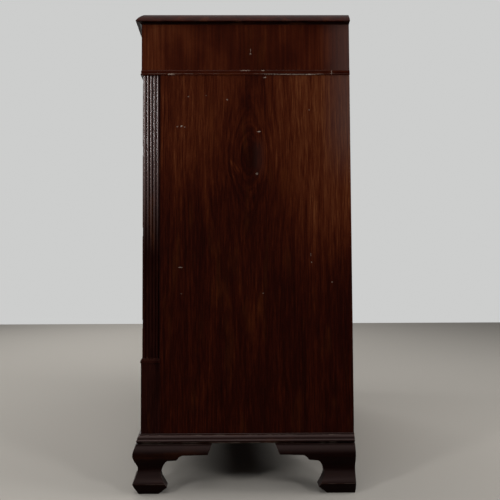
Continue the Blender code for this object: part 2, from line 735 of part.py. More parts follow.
def drawer_back(name, half_width, back_range, parent):
    low, high = back_range
    piece = box(f"{name}_back", (-half_width, DRAWER_LENGTH - DRAWER_BACK, low),
                (half_width, DRAWER_LENGTH, high), parent)
    grown_tails = tails(low, high, DRAWER_LENGTH, DRAWER_LENGTH - DRAWER_BACK - SINK,
                        DRAWER_LENGTH + SINK, FIT)
    cut(piece, *sockets(f"{name}_back", grown_tails, half_width, DRAWER_SIDE, parent))
    oak(piece)


def drawer_bottom(name, half_width, groove, parent):
    edge = half_width - DRAWER_SIDE + GROOVE_DEPTH - FIT
    oak(box(f"{name}_bottom", (-edge, DRAWER_FRONT - GROOVE_DEPTH + FIT, groove[0] + FIT),
            (edge, DRAWER_LENGTH, groove[1] - FIT), parent))


def post_profile():
    """Half of a turned handle post, from the tip of its head down to its foot."""
    base = PLATE_THICKNESS / 2
    head = [(max(x, 0.0), z) for x, z in arc((0, PIVOT_OUT), POST_HEAD, *POST_HEAD_SWEEP, SMALL_STEPS)]
    waist = POST_FOOT_HEIGHT + POST_NECK
    return head + [(POST_NECK, waist), (POST_FOOT, POST_FOOT_HEIGHT), (POST_FOOT, base), (0.0, base)]


def post(name, x, parent):
    """A turned post that stands out of the drawer's front."""
    profile = post_profile()
    mesh = bpy.data.meshes.new(name)
    bm = bmesh.new()
    points = [bm.verts.new((x_at, 0, z_at)) for x_at, z_at in profile]
    for pair in zip(points, points[1:]):
        bm.edges.new(pair)
    bm.to_mesh(mesh)
    bm.free()
    piece = add(name, mesh, parent, tool=True)
    piece.location = (x, 0, 0)
    piece.rotation_euler = (math.radians(90), 0, 0)
    turn = piece.modifiers.new("turn", "SCREW")
    turn.steps = TURN_SIDES
    turn.render_steps = TURN_SIDES
    turn.use_merge_vertices = True
    turn.merge_threshold = 10 * WELD
    return piece


def handle_plate(name, pivot):
    """A shaped back plate with two turned posts, bored across for the bail."""
    half = smooth(PLATE_LINE, LINE_STEPS)
    outline = half + mirrored(reversed(half[1:-1]))
    plate = flat(name, outline, FIT, FIT + PLATE_THICKNESS, FROM_FRONT, pivot)
    spread = HANDLE_SPACING / 2
    fuse(plate, post(f"{name}_post_left", -spread, pivot), post(f"{name}_post_right", spread, pivot))
    bm = bmesh.new()
    across = Matrix.Translation((0, -PIVOT_OUT, 0)) @ Matrix.Rotation(math.radians(90), 4, "Y")
    bmesh.ops.create_cone(bm, cap_ends=True, segments=TURN_SIDES, radius1=PIN_RADIUS + FIT,
                          radius2=PIN_RADIUS + FIT, depth=2 * HANDLE_SPACING, matrix=across)
    cut(plate, from_bmesh(f"{name}_bore", bm, pivot, tool=True))
    brass(plate)


def handle_bail(name, drawer, x, z):
    """A swan-neck bail; its origin lies on the line of its two pins."""
    spread = HANDLE_SPACING / 2
    half = [(spread - PIN_ENTRY, 0.0)] + [(spread + out, height) for out, height in BAIL_LINE]
    right = smooth(half + [(0.0, -BAIL_DROP)], LINE_STEPS)
    line = right + mirrored(reversed(right[:-1]))
    curve = bpy.data.curves.new(name, "CURVE")
    curve.dimensions = "3D"
    curve.bevel_depth = BAIL_RADIUS
    curve.bevel_resolution = 1
    curve.use_fill_caps = True
    spline = curve.splines.new("POLY")
    spline.points.add(len(line) - 1)
    for point, (across, height) in zip(spline.points, line):
        point.co = (across, 0, height, 1)
        swell = min(1.0, max(0.0, (spread + BAIL_LINE[2][0] - abs(across)) / spread))
        pin = abs(across) < spread + BAIL_LINE[0][0] and height > -PIN_RADIUS
        point.radius = (PIN_RADIUS + (0 if pin else (BAIL_RADIUS - PIN_RADIUS) * swell)) / BAIL_RADIUS
    bail = from_bmesh(name, welded(curve), drawer)
    bail.location = (x, -PIVOT_OUT, z)
    brass(bail)


def drawer(name, middle, floor, width, height, handles):
    """A dovetailed drawer; all of it hangs on one empty, which slides along Y."""
    slide = empty(f"{name}_slide", (middle, FRONT_Y, floor))
    half_width = width / 2 - PLAY
    tail_range = (FIT, height - SIDE_DROP)
    groove = (GROOVE_RISE, GROOVE_RISE + DRAWER_BOTTOM + 2 * FIT)
    back_range = (groove[1], height - SIDE_DROP - BACK_DROP)
    drawer_front(name, half_width, height, tail_range, groove, slide)
    for side in (-1, 1):
        drawer_side(name, side, half_width, tail_range, back_range, groove, slide)
    drawer_back(name, half_width, back_range, slide)
    drawer_bottom(name, half_width, groove, slide)
    for word, x in handles:
        z = height / 2 + HANDLE_RISE
        pivot = empty(f"{name}_handle{word}_place", (x, 0, z), slide)
        handle_plate(f"{name}_handle_plate{word}", pivot)
        handle_bail(f"{name}_handle_bail{word}", slide, x, z)


def drawers():
    for number, (floor, height) in enumerate(zip(ROWS, LONG_OPENINGS), 1):
        drawer(f"long_drawer_{number}", 0, floor, 2 * OPENING_X, height,
               (("_left", -HANDLE_X), ("_right", HANDLE_X)))
    width = OPENING_X - DIVIDER_THICKNESS / 2
    for word, side in (("left", -1), ("right", 1)):
        drawer(f"short_drawer_{word}", side * HANDLE_X, ROWS[-1], width, SHORT_OPENING, (("", 0),))


def case():
    top_board()
    top_cove()
    frieze_bead()
    frieze_board()
    base_moulding()
    bottom_board()
    rails()
    drawer_divider()
    back_panel()
    for word, side in (("left", -1), ("right", 1)):
        side_board(f"side_{word}", side)
        corner_post(f"corner_post_{word}", side)
        front_foot(f"foot_front_{word}", side)
        rear_foot(f"foot_rear_{word}", side)


case()
drawers()
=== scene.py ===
# %% [markdown]
# # A mahogany chest of drawers
# This lesson dresses a finished solid model of a tall chest: two short drawers over three long
# ones, a reeded post at each front corner, a moulded top and ogee bracket feet. The solid model is
# loaded as a frame that never moves. Each step adds one thing to it: a camera, a stage, lamps, wood
# with its grain and wear, brass handles, and the small fittings such as locks and nails.

# %% Load the frame
import json
import math
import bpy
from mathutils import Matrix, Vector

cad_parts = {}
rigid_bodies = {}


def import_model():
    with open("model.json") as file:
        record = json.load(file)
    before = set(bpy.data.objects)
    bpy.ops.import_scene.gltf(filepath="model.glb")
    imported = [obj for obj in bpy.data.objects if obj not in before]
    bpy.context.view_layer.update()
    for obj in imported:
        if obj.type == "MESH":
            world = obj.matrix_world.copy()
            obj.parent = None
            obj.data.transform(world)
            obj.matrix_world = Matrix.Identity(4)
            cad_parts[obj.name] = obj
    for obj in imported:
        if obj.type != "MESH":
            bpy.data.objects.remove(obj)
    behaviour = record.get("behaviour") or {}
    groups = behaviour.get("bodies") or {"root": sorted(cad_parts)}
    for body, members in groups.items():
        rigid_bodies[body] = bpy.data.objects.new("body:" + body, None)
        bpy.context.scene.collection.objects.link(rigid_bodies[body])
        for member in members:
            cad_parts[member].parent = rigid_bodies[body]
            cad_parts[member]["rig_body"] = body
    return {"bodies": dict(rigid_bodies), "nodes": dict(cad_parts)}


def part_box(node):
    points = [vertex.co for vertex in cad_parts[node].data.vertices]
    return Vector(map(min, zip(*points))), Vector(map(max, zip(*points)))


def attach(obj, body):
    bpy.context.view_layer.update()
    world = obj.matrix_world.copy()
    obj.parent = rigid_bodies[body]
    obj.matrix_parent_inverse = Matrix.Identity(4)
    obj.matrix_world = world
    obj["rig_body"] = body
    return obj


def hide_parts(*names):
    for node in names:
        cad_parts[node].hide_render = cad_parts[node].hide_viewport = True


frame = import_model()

from types import SimpleNamespace

import bmesh
import bpy
from mathutils import Euler, Matrix, Vector

nodes = frame["nodes"]
scene = bpy.context.scene
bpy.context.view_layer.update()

# %% [markdown]
# ## Where things are
# The frame gives the place of every solid, so a fitting takes its place from the board that
# carries it. A few levels are used again and again, and they are read here once: the outside of
# the case, the line where a post meets the end board, and the bead under the frieze.

# %% Levels of the case
side_low, side_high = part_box("side_right")
bead_low, bead_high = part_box("frieze_bead")
CASE_SIDE = side_high.x
CASE_BACK = side_high.y
CASE_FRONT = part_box("frieze_board")[0].y
BEAD_LEVEL = bead_low.z
POST_EDGE = side_low.y
DRAWERS = [name for name in frame["bodies"] if name.endswith(("_1", "_2", "_3"))]
DRAWERS += ["short_drawer_left", "short_drawer_right"]
print("side at", round(CASE_SIDE, 4), "front at", round(CASE_FRONT, 4), "drawers", DRAWERS)

# %% [markdown]
# ## The camera
# The picture is taken square to the right-hand end of the chest, with the front at the left. The
# camera stands a little nearer the front than the middle of that end, low, and tipped slightly up.
# Its lens shift keeps the upright edges nearly upright while the picture takes in the feet, as a
# view camera does. A hand-held camera is never quite level, so it also leans a little.

# %% Stand the camera
CAMERA_DISTANCE = 1.65
CAMERA_BEHIND_FRONT = 0.17475
CAMERA_HEIGHT = 0.620
CAMERA_YAW = math.radians(0.535)
CAMERA_PITCH = math.radians(2.8)
CAMERA_LEAN = math.radians(-0.174)
LENS_LENGTH = 48.06
LENS_SHIFT = (0.0636, -0.0918)

camera_data = bpy.data.cameras.new("camera")
camera_data.lens = LENS_LENGTH
camera_data.shift_x, camera_data.shift_y = LENS_SHIFT
camera = bpy.data.objects.new("camera", camera_data)
camera.location = (CASE_SIDE + CAMERA_DISTANCE, CASE_FRONT + CAMERA_BEHIND_FRONT, CAMERA_HEIGHT)
level = Euler((math.radians(90) + CAMERA_PITCH, 0, math.radians(90) - CAMERA_YAW)).to_matrix()
camera.rotation_euler = (level @ Matrix.Rotation(CAMERA_LEAN, 3, "Z")).to_euler()
scene.collection.objects.link(camera)
scene.camera = camera
scene.view_settings.view_transform = "Standard"
print("camera at", [round(value, 3) for value in camera.location])

# %% [markdown]
# ## Writing shader maths as sums
# A grain pattern is a sum: so much of the growth rings, so much of the fine fibre. The class
# `Value` holds one output of a node and knows how to add, multiply and so on, and each of those
# adds a Math node. `Wiring` makes every other kind of node in one method, which takes the type, the
# settings and then the values or links of the sockets. Wiring by hand in the editor gives the same
# result, but a sum on one line is easier to read and to change.

# %% Values that run along the links
class Value:
    """One output of a node. Sums on it add Math nodes."""

    def __init__(self, wiring, socket):
        self.wiring = wiring
        self.socket = socket

    def math(self, operation, *numbers, clamp=False):
        settings = {"operation": operation, "use_clamp": clamp}
        return self.wiring.node("Math", settings, dict(enumerate(numbers)))

    def __add__(self, other):
        return self.math("ADD", self, other)

    def __sub__(self, other):
        return self.math("SUBTRACT", self, other)

    def __rsub__(self, other):
        return self.math("SUBTRACT", other, self)

    def __mul__(self, other):
        return self.math("MULTIPLY", self, other)

    def __truediv__(self, other):
        return self.math("DIVIDE", self, other)

    def __pow__(self, other):
        return self.math("POWER", self, other)

    def __abs__(self):
        return self.math("ABSOLUTE", self)

    __radd__ = __add__
    __rmul__ = __mul__

    def root(self):
        return self.math("SQRT", self)

    def clamp(self):
        return self.math("ADD", self, 0.0, clamp=True)

    def above(self, level):
        """One where the value is over the level, and else nothing."""
        return self.math("GREATER_THAN", self, level)

    def between(self, low, high):
        """Rises smoothly from nothing at low to one at high."""
        inputs = {"Value": self, "From Min": low, "From Max": high}
        return self.wiring.node("MapRange", {"interpolation_type": "SMOOTHSTEP"}, inputs)

    def until(self, low, high):
        """Falls smoothly from one at low to nothing at high."""
        return 1.0 - self.between(low, high)


print("a value can", [name for name in vars(Value) if not name.startswith("_")])

# %% Nodes of any kind
class Wiring:
    """A node tree while it is being made."""

    def __init__(self, tree):
        self.tree = tree

    def feed(self, socket, value):
        if isinstance(value, Value):
            self.tree.links.new(value.socket, socket)
        elif isinstance(value, tuple) and len(value) == 3 and socket.type == "RGBA":
            socket.default_value = (*value, 1)
        else:
            socket.default_value = value

    def node(self, kind, settings=None, inputs=None, output=0):
        made = self.tree.nodes.new("ShaderNode" + kind)
        for name, value in (settings or {}).items():
            if name == "stops":
                self.set_stops(made.color_ramp, value)
            else:
                setattr(made, name, value)
        for key, value in (inputs or {}).items():
            self.feed(made.inputs[key], value)
        return Value(self, made.outputs[output]) if made.outputs else None

    def set_stops(self, ramp, stops):
        while len(ramp.elements) < len(stops):
            ramp.elements.new(1.0)
        for element, (place, colour) in zip(ramp.elements, stops):
            element.position = place
            element.color = (*colour, 1)


print("wiring can", [name for name in vars(Wiring) if not name.startswith("_")])

# %% [markdown]
# ## Floor and background
# A plain pale floor takes the shadow of the chest, and it ends some way behind it. Above it the
# background is the world's own pale grey. Only rays that come from the camera, from a reflection or
# through glass see that grey: for lighting the world is dimmer, and the lamps do the work.

# %% Lay the floor
FLOOR_COLOUR = (0.31, 0.292, 0.265)
FLOOR_MIDDLE = (0.50, 0, 0)
FLOOR_HALF = (3.13, 3.6)
FLOOR_ROUGHNESS = 0.95

floor_bm = bmesh.new()
floor_place = Matrix.Translation(FLOOR_MIDDLE) @ Matrix.Diagonal((*FLOOR_HALF, 1, 1))
bmesh.ops.create_grid(floor_bm, x_segments=2, y_segments=2, size=1, matrix=floor_place)
floor_mesh = bpy.data.meshes.new("floor")
floor_bm.to_mesh(floor_mesh)
floor_bm.free()
floor = bpy.data.objects.new("floor", floor_mesh)
scene.collection.objects.link(floor)
floor_paint = bpy.data.materials.new("floor")
floor_paint.use_nodes = True
floor_shader = floor_paint.node_tree.nodes["Principled BSDF"]
floor_shader.inputs["Base Color"].default_value = (*FLOOR_COLOUR, 1)
floor_shader.inputs["Roughness"].default_value = FLOOR_ROUGHNESS
floor_shader.inputs["Specular IOR Level"].default_value = 0.0
floor_mesh.materials.append(floor_paint)
print("floor reaches", [round(value, 2) for value in floor.dimensions])

# %% Paint the background
BACKGROUND = (0.61, 0.615, 0.61)
WORLD_LIGHT = 0.07

world = bpy.data.worlds.new("studio")
scene.world = world
world.use_nodes = True
world.node_tree.nodes.clear()
sky = Wiring(world.node_tree)
rays = {name: sky.node("LightPath", output=name) for name in
        ("Is Camera Ray", "Is Glossy Ray", "Is Transmission Ray")}
seen = (rays["Is Camera Ray"] + rays["Is Glossy Ray"] + rays["Is Transmission Ray"]).clamp()
lighting = sky.node("Background", {}, {"Color": (1.0, 1.0, 1.0), "Strength": WORLD_LIGHT})
backdrop = sky.node("Background", {}, {"Color": BACKGROUND, "Strength": 1.0})
either = sky.node("MixShader", {}, {0: seen, 1: lighting, 2: backdrop})
sky.node("OutputWorld", {}, {"Surface": either})
print("background", BACKGROUND, "lights with", WORLD_LIGHT)

# %% [markdown]
# ## Lamps
# Soft area lamps stand round the chest. Two narrow ones stand to the left and right of the camera,
# at the height of the upper half of the case. The round reeds of the post mirror the left one as
# bright lines that fade towards the floor, one line on each reed, so the right one is left out of
# reflections. A painted highlight in the colour of the upper crowns adds to those lines. The flat
# end mirrors neither. The others keep every side readable, and the one overhead lights the ledges
# of the mouldings.

# %% Hang the lamps
def lamp(name, place, target, width, height, power, mirrored=True):
    """A soft lamp that faces its target. Sizes are in metres and the power is in watts."""
    data = bpy.data.lights.new(name, "AREA")
    data.shape = "RECTANGLE"
    data.size = width
    data.size_y = height
    data.energy = power
    obj = bpy.data.objects.new(name, data)
    obj.location = place
    obj.rotation_euler = (Vector(target) - Vector(place)).to_track_quat("-Z", "Y").to_euler()
    obj.visible_glossy = mirrored
    scene.collection.objects.link(obj)
    return obj


lamp("beside_camera_front", (2.25, -1.75, 1.42), (0.53, -0.1, 0.80), 0.30, 0.62, 27)
lamp("beside_camera_back", (2.25, 1.65, 1.42), (0.53, 0.1, 0.80), 0.40, 0.62, 24,
     mirrored=False)
lamp("front_window", (-0.4, -2.6, 1.90), (0, 0, 0.75), 1.5, 1.1, 42)
lamp("high", (2.1, -0.4, 2.95), (0.4, 0, 0.75), 1.5, 1.5, 22)
lamp("overhead", (0, 0.1, 3.1), (0, 0, 0), 2.4, 2.0, 26)
lamp("left_fill", (-2.6, -0.6, 2.0), (0, 0, 0.6), 1.5, 1.3, 50)
lamp("back_fill", (0.7, 2.7, 2.1), (0.1, 0, 0.6), 1.5, 1.3, 50)
print("lamps:", [light.name for light in bpy.data.lights])

# %% [markdown]
# ## What a finish is
# A finish is one material and the wiring of its nodes. What varies over a piece, such as its
# colour and roughness, is a sum of patterns, and what is the same all over is a number on the
# shader's own socket. The patterns read the place on the piece in metres, so they have their true
# scale, and nothing has to be unwrapped.

# %% Finishes
class Finish(Wiring):
    """A material while it is being made."""

    def __init__(self, name):
        self.material = bpy.data.materials.new(name)
        self.material.use_nodes = True
        super().__init__(self.material.node_tree)
        self.shader = self.tree.nodes["Principled BSDF"]

    def shade(self, **inputs):
        """Set sockets of the shader itself: Base_Color stands for Base Color."""
        for name, value in inputs.items():
            self.feed(self.shader.inputs[name.replace("_", " ")], value)
        return self

    def place(self):
        """The piece's own x, y and z, in metres."""
        spot = self.node("TexCoord", output="Object")
        return [self.node("SeparateXYZ", {}, {0: spot}, axis) for axis in range(3)]

    def vector(self, x, y, z):
        return self.node("CombineXYZ", {}, {0: x, 1: y, 2: z})

    def noise(self, x, y, z, detail=3.0, roughness=0.55):
        inputs = {"Vector": self.vector(x, y, z), "Scale": 1.0,
                  "Detail": detail, "Roughness": roughness}
        return self.node("TexNoise", {}, inputs, "Fac")

    def ramp(self, factor, stops):
        return self.node("ValToRGB", {"stops": stops}, {"Fac": factor})

    def blend(self, factor, first, second):
        """Mix two colours."""
        return self.node("Mix", {"data_type": "RGBA"}, {0: factor, 6: first, 7: second}, 2)

    def choose(self, factor, first, second):
        """Mix two numbers."""
        return self.node("Mix", {"data_type": "FLOAT"}, {0: factor, 2: first, 3: second})

    def bump(self, height, strength, distance):
        inputs = {"Height": height, "Strength": strength, "Distance": distance}
        return self.node("Bump", {}, inputs)

    def crest(self):
        """How far a point lies on the crest of a rounded edge, from the mesh's own marks."""
        return self.node("Attribute", {"attribute_name": "crest"}, {}, "Fac")

    def tint(self, factor, colour):
        """Mix one more colour into what the shader already shows."""
        shown = Value(self, self.shader.inputs["Base Color"].links[0].from_socket)
        return self.shade(Base_Color=self.blend(factor, shown, colour))


print("a finish has", len(Finish("trial").tree.nodes), "nodes to start with")
bpy.data.materials.remove(bpy.data.materials["trial"])

# %% [markdown]
# ## Old mahogany
# The wood is nearly black-brown with a red heart, under many coats of rubbed polish. Three
# patterns make it: growth rings that wander along the board, fine fibres, and short dark pores.
# The rings are drawn by a distance from a heart line: near the heart the distance bends them into
# an eye, and far from it they run straight. That one sum gives both the knot on the end of the
# case and the plain stripes beside it. An image of wood would be quicker to set up, but it would
# repeat and would not follow the boards.

# %% Mahogany colours
MAHOGANY_STOPS = (
    (0.10, (0.0040, 0.0005, 0.0003)),
    (0.34, (0.0108, 0.0013, 0.0006)),
    (0.52, (0.0240, 0.0037, 0.0013)),
    (0.68, (0.0430, 0.0088, 0.0029)),
    (0.90, (0.0850, 0.0260, 0.0090)),
)
TRIM_STOPS = (
    (0.10, (0.0030, 0.0007, 0.0005)),
    (0.40, (0.0075, 0.0016, 0.0012)),
    (0.60, (0.0160, 0.0038, 0.0026)),
    (0.90, (0.0400, 0.0110, 0.0068)),
)
WORN_COLOUR = (0.25, 0.20, 0.165)
RUBBED_COLOUR = (0.085, 0.036, 0.019)
GLOW_COLOUR = (0.100, 0.027, 0.006)
# A painted sheen: a grey reflection on the polish, mixed into the colour of the right-hand end
PAINTED_SHEEN_COLOUR = (0.066, 0.043, 0.038)
# Partly dust, partly a painted highlight on ledges that look upwards
DUST_AND_HIGHLIGHT_COLOUR = (0.090, 0.062, 0.058)
PORE_COLOUR = (0.0030, 0.0006, 0.0004)
# A painted highlight on the crowns of the upper reeds
REED_HIGHLIGHT_COLOUR = (0.120, 0.066, 0.058)
WARM_SHINE = (1.0, 0.60, 0.44)
CLEAR_SHINE = (1.0, 0.74, 0.68)


# %% Grain along any piece
def front_run(finish, x, y):
    """One on a moulding's run along the front, and nothing on its runs along the sides."""
    ahead = CASE_FRONT - y
    outside = abs(x) - CASE_SIDE
    return (ahead - outside).above(0.0)


def laid(finish, way):
    """The place on a piece as across, along and through its grain."""
    x, y, z = finish.place()
    if way == "upright":
        return x + y, z, x - y
    if way == "crosswise":
        return z, x, y
    if way == "lengthwise":
        return z, y, x
    front = front_run(finish, x, y)
    along = finish.choose(front, y, x)
    through = finish.choose(front, x, y)
    return z, along, through


print("a moulding's grain turns at x", round(CASE_SIDE, 3), "y", round(CASE_FRONT, 3))

# %% [markdown]
# ## Growth rings and wear
# A ring is a place where the distance from the heart has one value. Close to the heart the distance
# is an upright ellipse. Far above and below it the height stops counting, so the stripes come back
# together and run straight to the board's ends. Wear is paler than the polish: it lies along the
# crests of the rounded edges, which the meshes mark, and in knocks at given places.

# %% Growth rings
RING_SWAY = 0.022


def rings(finish, across, along, through, heart, stretch, span):
    """Distance from the heart line: an ellipse near the heart, and straight stripes far from it."""
    sway = finish.noise(across * 4.0, along * 1.5, through * 4.0, 2.0) - 0.5
    aside = across - heart[0] + sway * RING_SWAY
    ahead = (along - heart[1]) * (1.0 / stretch)
    rise = ahead * ahead
    level = rise / (1.0 + rise * (1.0 / span**2))
    return (aside * aside + level).root(), aside


print("rings sway by", RING_SWAY, "m along a board")

# %% Knocks and rubbed edges
RAGGED = 3.2


def knocks(finish, chips):
    """Small knocks at given places: middle across (x + y), height, half sizes and strength."""
    x, y, z = finish.place()
    total = 0.0
    for at_across, at_z, wide, high, strength in chips:
        rag = finish.noise(x * 480.0, y * 480.0, z * 620.0 + at_z, 2.0) - 0.5
        aside = (x + y - at_across) * (1.0 / wide)
        above = (z - at_z) * (1.0 / high)
        near = (1.0 - (aside * aside + above * above)) + rag * RAGGED
        total = near.between(0.35, 0.75) * strength + total
    return total


def wear(finish, edges, chips):
    """Knocks and rubbed edges together, from nothing to one."""
    x, y, z = finish.place()
    patches = finish.noise(x * 38.0, y * 38.0, z * 30.0, 3.0).between(0.42, 0.62)
    rubbed = finish.crest() * patches * edges
    return (knocks(finish, chips) + rubbed).clamp()


print("wear turns the wood to", WORN_COLOUR)

# %% [markdown]
# ## One recipe for every cut
# All pieces of the case are the same kind of wood, so they share one recipe, and each piece says
# only how it was cut and kept: which way its grain runs, where the heart of the tree was, how dark,
# patchy and glossy it is, and how much pale tone, partly dust and partly painted highlight, lies on
# its ledges. Coarse patterns follow the rings, and fine ones follow the place itself. Their sum
# gives a tone, and a ramp turns the tone into a colour. A separate material for each board would be
# more work and would match less well.

# %% Patterns in the wood
def patterns(finish, across, along, through, ring):
    """What every cut shares. The numbers say how often a pattern changes in a metre."""
    pores = finish.noise(across * 2300.0, through * 2300.0, along * 85.0, 1.0)
    glow = finish.noise(across * 26.0, through * 26.0, along * 7.0 + 1.3, 3.0)
    return SimpleNamespace(
        broad=finish.noise(ring * 38.0, through * 9.0, along * 1.1, 2.0),
        stripes=finish.noise(ring * 190.0, through * 30.0, along * 3.4, 4.0, 0.70),
        flecks=finish.noise(across * 270.0 + ring * 40.0, through * 90.0, along * 19.0, 3.0, 0.62),
        fibres=finish.noise(across * 760.0, through * 760.0, along * 26.0, 3.0, 0.6),
        clouds=finish.noise(across * 9.0, through * 9.0, along * 3.1 + 3.7, 3.0),
        smear=finish.noise(across * 17.0, through * 17.0, along * 8.0, 4.0),
        pits=pores.between(0.60, 0.74),
        glow=glow.between(0.54, 0.76),
    )


BROAD_SHARE = 0.30
STRIPE_SHARE = 0.42
FLECK_SHARE = 0.36
FIBRE_SHARE = 0.34
MIDDLE_TONE = 0.42
TONE_SPREAD = 1.25


def grain_tone(grain, warmth, contrast, patchy):
    """The patterns as one tone, about a middle."""
    coarse = (grain.broad + grain.clouds) * (BROAD_SHARE * patchy)
    fine = grain.stripes * STRIPE_SHARE + grain.flecks * FLECK_SHARE + grain.fibres * FIBRE_SHARE
    middle = BROAD_SHARE * patchy + (STRIPE_SHARE + FLECK_SHARE + FIBRE_SHARE) / 2
    return (coarse + fine - middle) * (TONE_SPREAD * contrast) + (MIDDLE_TONE + warmth)


print("stripes, flecks and fibres share", STRIPE_SHARE, FLECK_SHARE, FIBRE_SHARE)

# %% Mahogany of any cut
FAR_HEART = (9.0, 0.0)
RELIEF_DEPTH = 0.00018


def dust_and_highlight_on_ledges(finish, wood, dust_and_highlight):
    """Dust and a painted highlight on ledges that look upwards, but not on a level top, which is
    wiped.
    """
    level = finish.node("SeparateXYZ", {}, {0: finish.node("NewGeometry", output="Normal")}, 2)
    ledge = level.between(0.05, 0.75) * level.until(0.94, 0.99)
    return finish.blend(ledge * dust_and_highlight, wood, DUST_AND_HIGHLIGHT_COLOUR)


def mahogany(name, way="upright", heart=FAR_HEART, stretch=2.3, span=0.055, stops=MAHOGANY_STOPS,
             warmth=0.0, contrast=1.0, patchy=1.0, gloss=0.32, shine=0.04, tint=WARM_SHINE,
             edges=0.5, dust_and_highlight=0.0, relief=0.32, chips=(), knot=None):
    """A polished mahogany. The heart is where the growth rings centre, across and along."""
    finish = Finish(name)
    across, along, through = laid(finish, way)
    ring, aside = rings(finish, across, along, through, heart, stretch, span)
    grain = patterns(finish, across, along, through, ring)
    tone, haze = grain_tone(grain, warmth, contrast, patchy), 0.0
    if knot:
        tone, haze = knot(finish, tone, ring, aside, along)
    wood = finish.ramp(tone, stops)
    wood = finish.blend(grain.glow * grain.flecks * (0.45 * patchy), wood, GLOW_COLOUR)
    # haze here is a painted sheen, a grey reflection mixed into the colour, only on the right-hand
    # end
    wood = finish.blend(haze, wood, PAINTED_SHEEN_COLOUR)
    wood = finish.blend(grain.pits * 0.55, wood, PORE_COLOUR)
    # Ledges that look upwards get a pale tone: partly dust, partly a painted highlight from above
    if dust_and_highlight:
        wood = dust_and_highlight_on_ledges(finish, wood, dust_and_highlight)
    rubbed = finish.crest() * grain.clouds.between(0.35, 0.70) * 0.6
    wood = finish.blend(rubbed, wood, RUBBED_COLOUR)
    worn = wear(finish, edges, chips)
    rough = grain.smear * 0.18 + grain.fibres * 0.10 + grain.pits * 0.12 + worn * 0.30
    height = grain.fibres * 0.5 - grain.pits * 0.6 - worn * 0.9
    return finish.shade(
        Base_Color=finish.blend(worn, wood, WORN_COLOUR),
        Roughness=rough + (gloss - 0.14),
        Normal=finish.bump(height, relief, RELIEF_DEPTH),
        Specular_IOR_Level=shine,
        Specular_Tint=tint,
    )


print("mahogany runs from", MAHOGANY_STOPS[0][1], "to", MAHOGANY_STOPS[-1][1])

# %% [markdown]
# ## The board with the knot
# The right-hand end is one wide board with a knot high up. The knot is a dark eye with narrow
# lighter arcs round it, and a dark column runs from it down the board. The board is lighter towards
# its rear edge, and its top is painted lighter, as painted light falling from above. Each of these
# is a mask, which is one near its place and falls to nothing further off, and the masks are added
# to the tone of the plain wood. A grey painted sheen is also mixed into the colour high at the rear
# edge and beside the knot. Places are measured from the knot: `aside` is how far a point lies
# beside it, and `along` is its height.

# %% The knot and its board
END_EDGE = CASE_SIDE + CASE_FRONT
KNOT_LEVEL = 0.819
KNOT = (END_EDGE + 0.266, KNOT_LEVEL)
KNOT_STRETCH = 2.1
ARCS_PER_METRE = 620.0
SMUDGE = (0.006, 0.957)
PALE_SPOT = (-0.041, 0.785)


def away_from(aside, along, spot, flatten=1.0):
    """Distance on the board from a spot. Flattened, heights count for less."""
    return ((aside - spot[0]) ** 2 + (along - spot[1]) ** 2 * flatten).root()


def board_tone(finish, tone, ring, aside, along):
    """The tone of the board, with the knot, its column, the lighter parts and painted light on its
    top.
    """
    near = abs(along - KNOT_LEVEL).until(0.05, 0.15)
    eye = ring.until(0.008, 0.032)
    arcs = (ring.math("SINE", ring * ARCS_PER_METRE) * 0.5 + 0.5) * ring.until(0.035, 0.070)
    shade = near * abs(aside + 0.012).until(0.030, 0.105)
    smudge = away_from(aside, along, SMUDGE).until(0.006, 0.034)
    column = abs(aside).until(0.010, 0.085)
    # Painted light: the top of the board is made lighter, as light falling from above
    painted_top_light = along.between(0.60, 0.90)
    rear = aside.between(-0.01, 0.24) * along.between(0.44, 0.72)
    light = painted_top_light * 0.26 + rear * (0.30 - painted_top_light * 0.18) - column * (painted_top_light * 0.10 + 0.02)
    x, _, z = finish.place()
    flecks = finish.noise((aside + z * 0.5) * 190.0, x * 9.0, z * 16.0, 3.0).between(0.50, 0.66)
    pale = flecks * away_from(aside, along, PALE_SPOT, 0.35).until(0.008, 0.030)
    dark = eye * near * 0.19 + shade * 0.085 + smudge * 0.09
    return tone - 0.07 + light + arcs * near * 0.11 - dark + pale * 0.22


def board_painted_sheen(aside, along):
    """Where a grey painted sheen lies: high at the rear edge, and beside the knot."""
    cheek = aside.between(0.004, 0.020) * aside.until(0.024, 0.044)
    cheek = cheek * abs(along - KNOT_LEVEL).until(0.015, 0.060)
    return aside.between(0.17, 0.26) * along.between(0.72, 0.92) * 0.45 + cheek * 0.06


print("knot at", [round(value, 3) for value in KNOT])

# %% [markdown]
# ## The frieze above the bead
# The solid of the end board runs up to the top, but above the bead the real chest has another piece
# of wood. So above that height the same material has a pattern of its own, moved sideways and
# warmer. A second material would need the mesh cut there, and the bead hides the change anyway.

# %% The frieze's own wood
FRIEZE_LEVEL = BEAD_LEVEL + 0.005


def frieze_tone(finish, aside):
    """The tone of the frieze: narrow stripes in soft patches, darker towards the front."""
    x, y, z = finish.place()
    stripes = finish.noise((x + y) * 170.0 + 31.0, x * 9.0, z * 5.0, 4.0, 0.66)
    patches = finish.noise((x + y) * 11.0 + 5.0, x * 9.0, z * 9.0, 3.0).between(0.30, 0.70)
    return (stripes - 0.5) * 0.62 + patches * 0.16 - aside.between(-0.26, -0.02) * 0.10 + 0.52


def end_and_frieze(finish, tone, ring, aside, along):
    """The tone and the painted sheen of the right-hand end: its board, and the frieze above the
    bead.
    """
    board = board_tone(finish, tone, ring, aside, along)
    frieze = frieze_tone(finish, aside)
    above_bead = finish.place()[2].above(FRIEZE_LEVEL)
    return finish.choose(above_bead, board, frieze), board_painted_sheen(aside, along)


print("the frieze's wood starts at", round(FRIEZE_LEVEL, 4))

